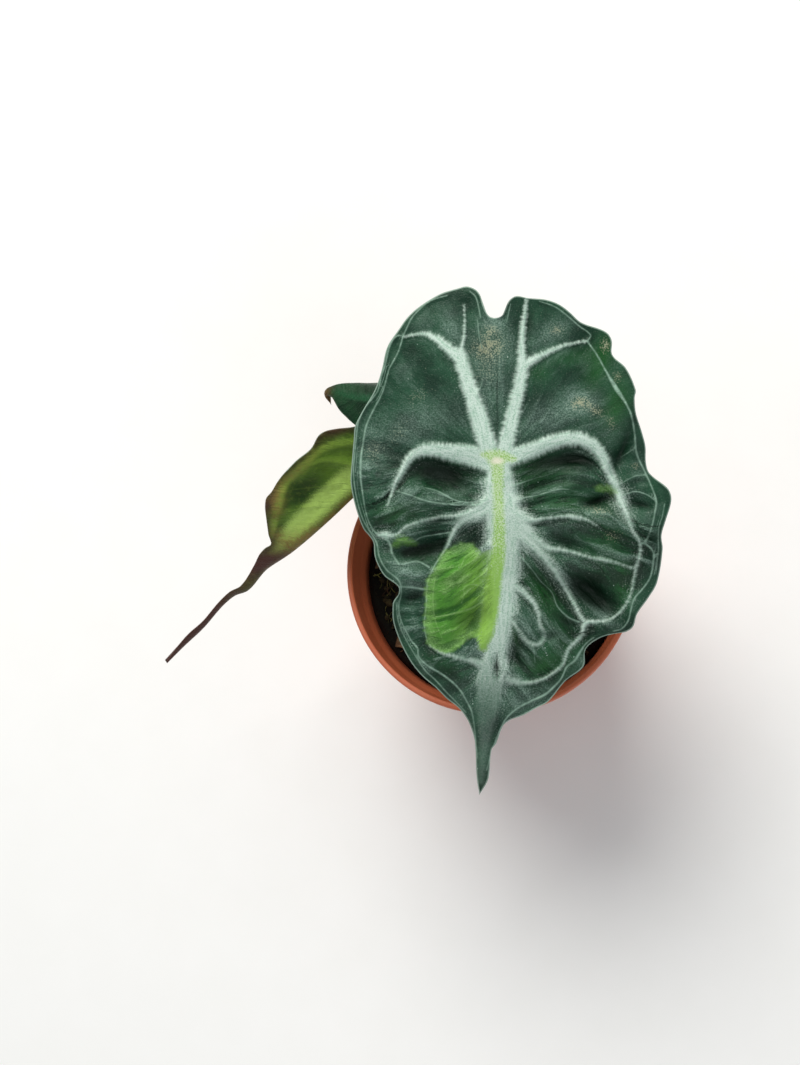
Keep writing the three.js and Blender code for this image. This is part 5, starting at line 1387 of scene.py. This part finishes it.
def model_bit(kind):
    """One bark chip, crumb or strand, a millimetre across, ready to be copied."""
    deselect()
    if kind == "chip":
        bpy.ops.mesh.primitive_cube_add(size=1 * MM)
        bpy.ops.transform.resize(value=(1, 0.55, 0.3))
        bpy.ops.object.transform_apply(scale=True)
        bpy.ops.object.mode_set(mode="EDIT")
        bpy.ops.mesh.subdivide(number_cuts=2)
        bpy.ops.mesh.select_all(action="SELECT")
        bpy.ops.transform.vertex_random(offset=0.11 * MM, seed=4)
        bpy.ops.object.mode_set(mode="OBJECT")
    elif kind == "crumb":
        bpy.ops.mesh.primitive_ico_sphere_add(subdivisions=2, radius=0.5 * MM)
        bpy.ops.object.mode_set(mode="EDIT")
        bpy.ops.mesh.select_all(action="SELECT")
        bpy.ops.transform.vertex_random(offset=0.12 * MM, seed=9)
        bpy.ops.object.mode_set(mode="OBJECT")
    elif kind == "strand":
        bpy.ops.mesh.primitive_cone_add(vertices=5, radius1=0.05 * MM, radius2=0.02 * MM,
                                        depth=1 * MM)
        bpy.ops.object.mode_set(mode="EDIT")
        bpy.ops.mesh.select_all(action="SELECT")
        bpy.ops.mesh.bisect(plane_co=(0, 0, 0.22 * MM), plane_no=(0, 0, 1))
        bpy.ops.mesh.select_all(action="SELECT")
        bpy.ops.mesh.bisect(plane_co=(0, 0, -0.22 * MM), plane_no=(0, 0, 1))
        bpy.ops.object.mode_set(mode="OBJECT")
        points = get_points(bpy.context.object.data)
        points[:, 0] += 0.5 * points[:, 2] ** 2
        points[:, 1] += 0.3 * points[:, 2] ** 3
        set_points(bpy.context.object.data, points)
    bit = bpy.context.object
    bit.name = kind
    return bit


def scatter(name, kind, count, sizes, tints, sink, tilt, seed):
    """Copies a bit over the soil, each at its own size, turn and tint, and joins the copies."""
    dice = random.Random(seed)
    bit = model_bit(kind)
    copies = []
    for _ in range(count):
        distance = (soil_radius(57) - 3.2) * math.sqrt(dice.random())
        angle = 2 * math.pi * dice.random()
        x, y = distance * math.cos(angle), distance * math.sin(angle)
        size = dice.uniform(*sizes)
        copy = bit.copy()
        copy.data = bit.data.copy()
        turn = Matrix.Rotation(dice.uniform(0, 2 * math.pi), 4, "Z")
        lean = Matrix.Rotation(dice.uniform(*tilt), 4, "X")
        stretch = Matrix.Diagonal((size, size * dice.uniform(0.7, 1.2),
                                   size * dice.uniform(0.7, 1.3), 1))
        height = float(soil_top(np.array(x), np.array(y))) + sink * size
        copy.data.transform(Matrix.Translation((x * MM, y * MM, height * MM))
                            @ turn @ lean @ stretch)
        set_attribute(copy.data, "tint", np.full(len(copy.data.vertices), dice.uniform(*tints)))
        bpy.context.scene.collection.objects.link(copy)
        copies.append(copy)
    bpy.data.objects.remove(bit)
    deselect()
    for copy in copies:
        copy.select_set(True)
    bpy.context.view_layer.objects.active = copies[0]
    bpy.ops.object.join()
    joined = bpy.context.object
    joined.name = name
    return joined


finish_piece(build_soil_bed(), "soil_bed", soil_material(
    "peat_damp", "#080704", "#14100a", "#1e190f", 0.85), ["soil"])
for name, kind, count, sizes, tints, sink, tilt, seed, skin in (
    ("soil_crumbs", "crumb", 520, (0.8, 2.6), (0, 1), 0.2, (0, 3), 3,
     soil_material("peat_crumbs", "#100d06", "#3e331e", "#5c5432", 0.85)),
    ("soil_bark", "chip", 90, (2.4, 6), (0, 1), 0.2, (-0.6, 0.6), 5,
     soil_material("pine_bark_chips", "#2a1a0e", "#85654a", "#c0a680", 0.7)),
    ("soil_moss", "strand", 420, (2, 5), (0, 1), 0.12, (0.9, 2.2), 7,
     soil_material("sphagnum_moss", "#2a2a12", "#7c753e", "#a0965c", 0.8)),
    ("soil_coir", "strand", 160, (4, 9), (0, 1), 0.06, (1.2, 1.9), 11,
     soil_material("coir_fibre", "#1a1008", "#463020", "#5e4a30", 0.75)),
):
    bits = scatter(name, kind, count, sizes, tints, sink, tilt, seed)
    finish_piece(bits, name, skin, [])

# ---- Stage, light and camera


def build_stage():
    deselect()
    bpy.ops.mesh.primitive_plane_add(size=4)
    floor = bpy.context.object
    floor.name = "studio_floor"
    material, tree, shader = new_material("paper_matt_white", sockets={"IOR": 1.45,
                                          "Specular IOR Level": 0.2})
    place = add_node(tree, "TexCoord").outputs["Object"]
    tooth = add_node(tree, "TexNoise", {"Vector": place, "Scale": 60.0, "Detail": 4})
    paper = add_node(tree, "Mix", {0: tooth, 6: "#f4f4f2", 7: "#f8f8f7"}, **RGBA)
    rough = add_node(tree, "MapRange", {"Value": tooth, 3: 0.8, 4: 0.95})
    paint(tree, shader, paper, rough, tooth, 0.05)
    floor.data.materials.append(material)


def add_light(name, place, target, size, power, tint):
    lamp = bpy.data.lights.new(name, "AREA")
    lamp.shape = "DISK"
    lamp.size = size
    lamp.energy = power
    lamp.color = srgb(tint)[:3]
    light = bpy.data.objects.new(name, lamp)
    light.location = place
    light.rotation_euler = (Vector(target) - Vector(place)).to_track_quat("-Z", "Y").to_euler()
    bpy.context.scene.collection.objects.link(light)


def build_light():
    world = bpy.data.worlds.new("studio_dome")
    world.use_nodes = True
    world.node_tree.nodes["Background"].inputs["Color"].default_value = srgb("#f3f6f8")
    world.node_tree.nodes["Background"].inputs["Strength"].default_value = 0.38
    bpy.context.scene.world = world
    add_light("window", (-0.24, 0.68, 0.95), (0, 0, 0.1), 0.85, 13, "#fffdf8")
    add_light("front_card", (0.5, -0.75, 0.75), (0, 0, 0.08), 0.8, 2.5, "#f4f8ff")
    bpy.context.scene.view_settings.view_transform = "Standard"


def build_camera():
    """The photograph's camera: place, target and lens, with the picture's up along +Y."""
    place, target = Vector((0.03907, -0.06767, 0.51316)), Vector((-0.025, 0.0105, 0.070))
    forward = (target - place).normalized()
    right = forward.cross(Vector((0, 1, 0))).normalized()
    up = right.cross(forward)
    lens = bpy.data.cameras.new("view")
    lens.lens = 55.3
    lens.sensor_width = 36
    camera = bpy.data.objects.new("view", lens)
    turn = Matrix((right, up, -forward)).transposed().to_4x4()
    camera.matrix_world = Matrix.Translation(place) @ turn
    bpy.context.scene.collection.objects.link(camera)
    bpy.context.scene.camera = camera


build_stage()
build_light()
build_camera()
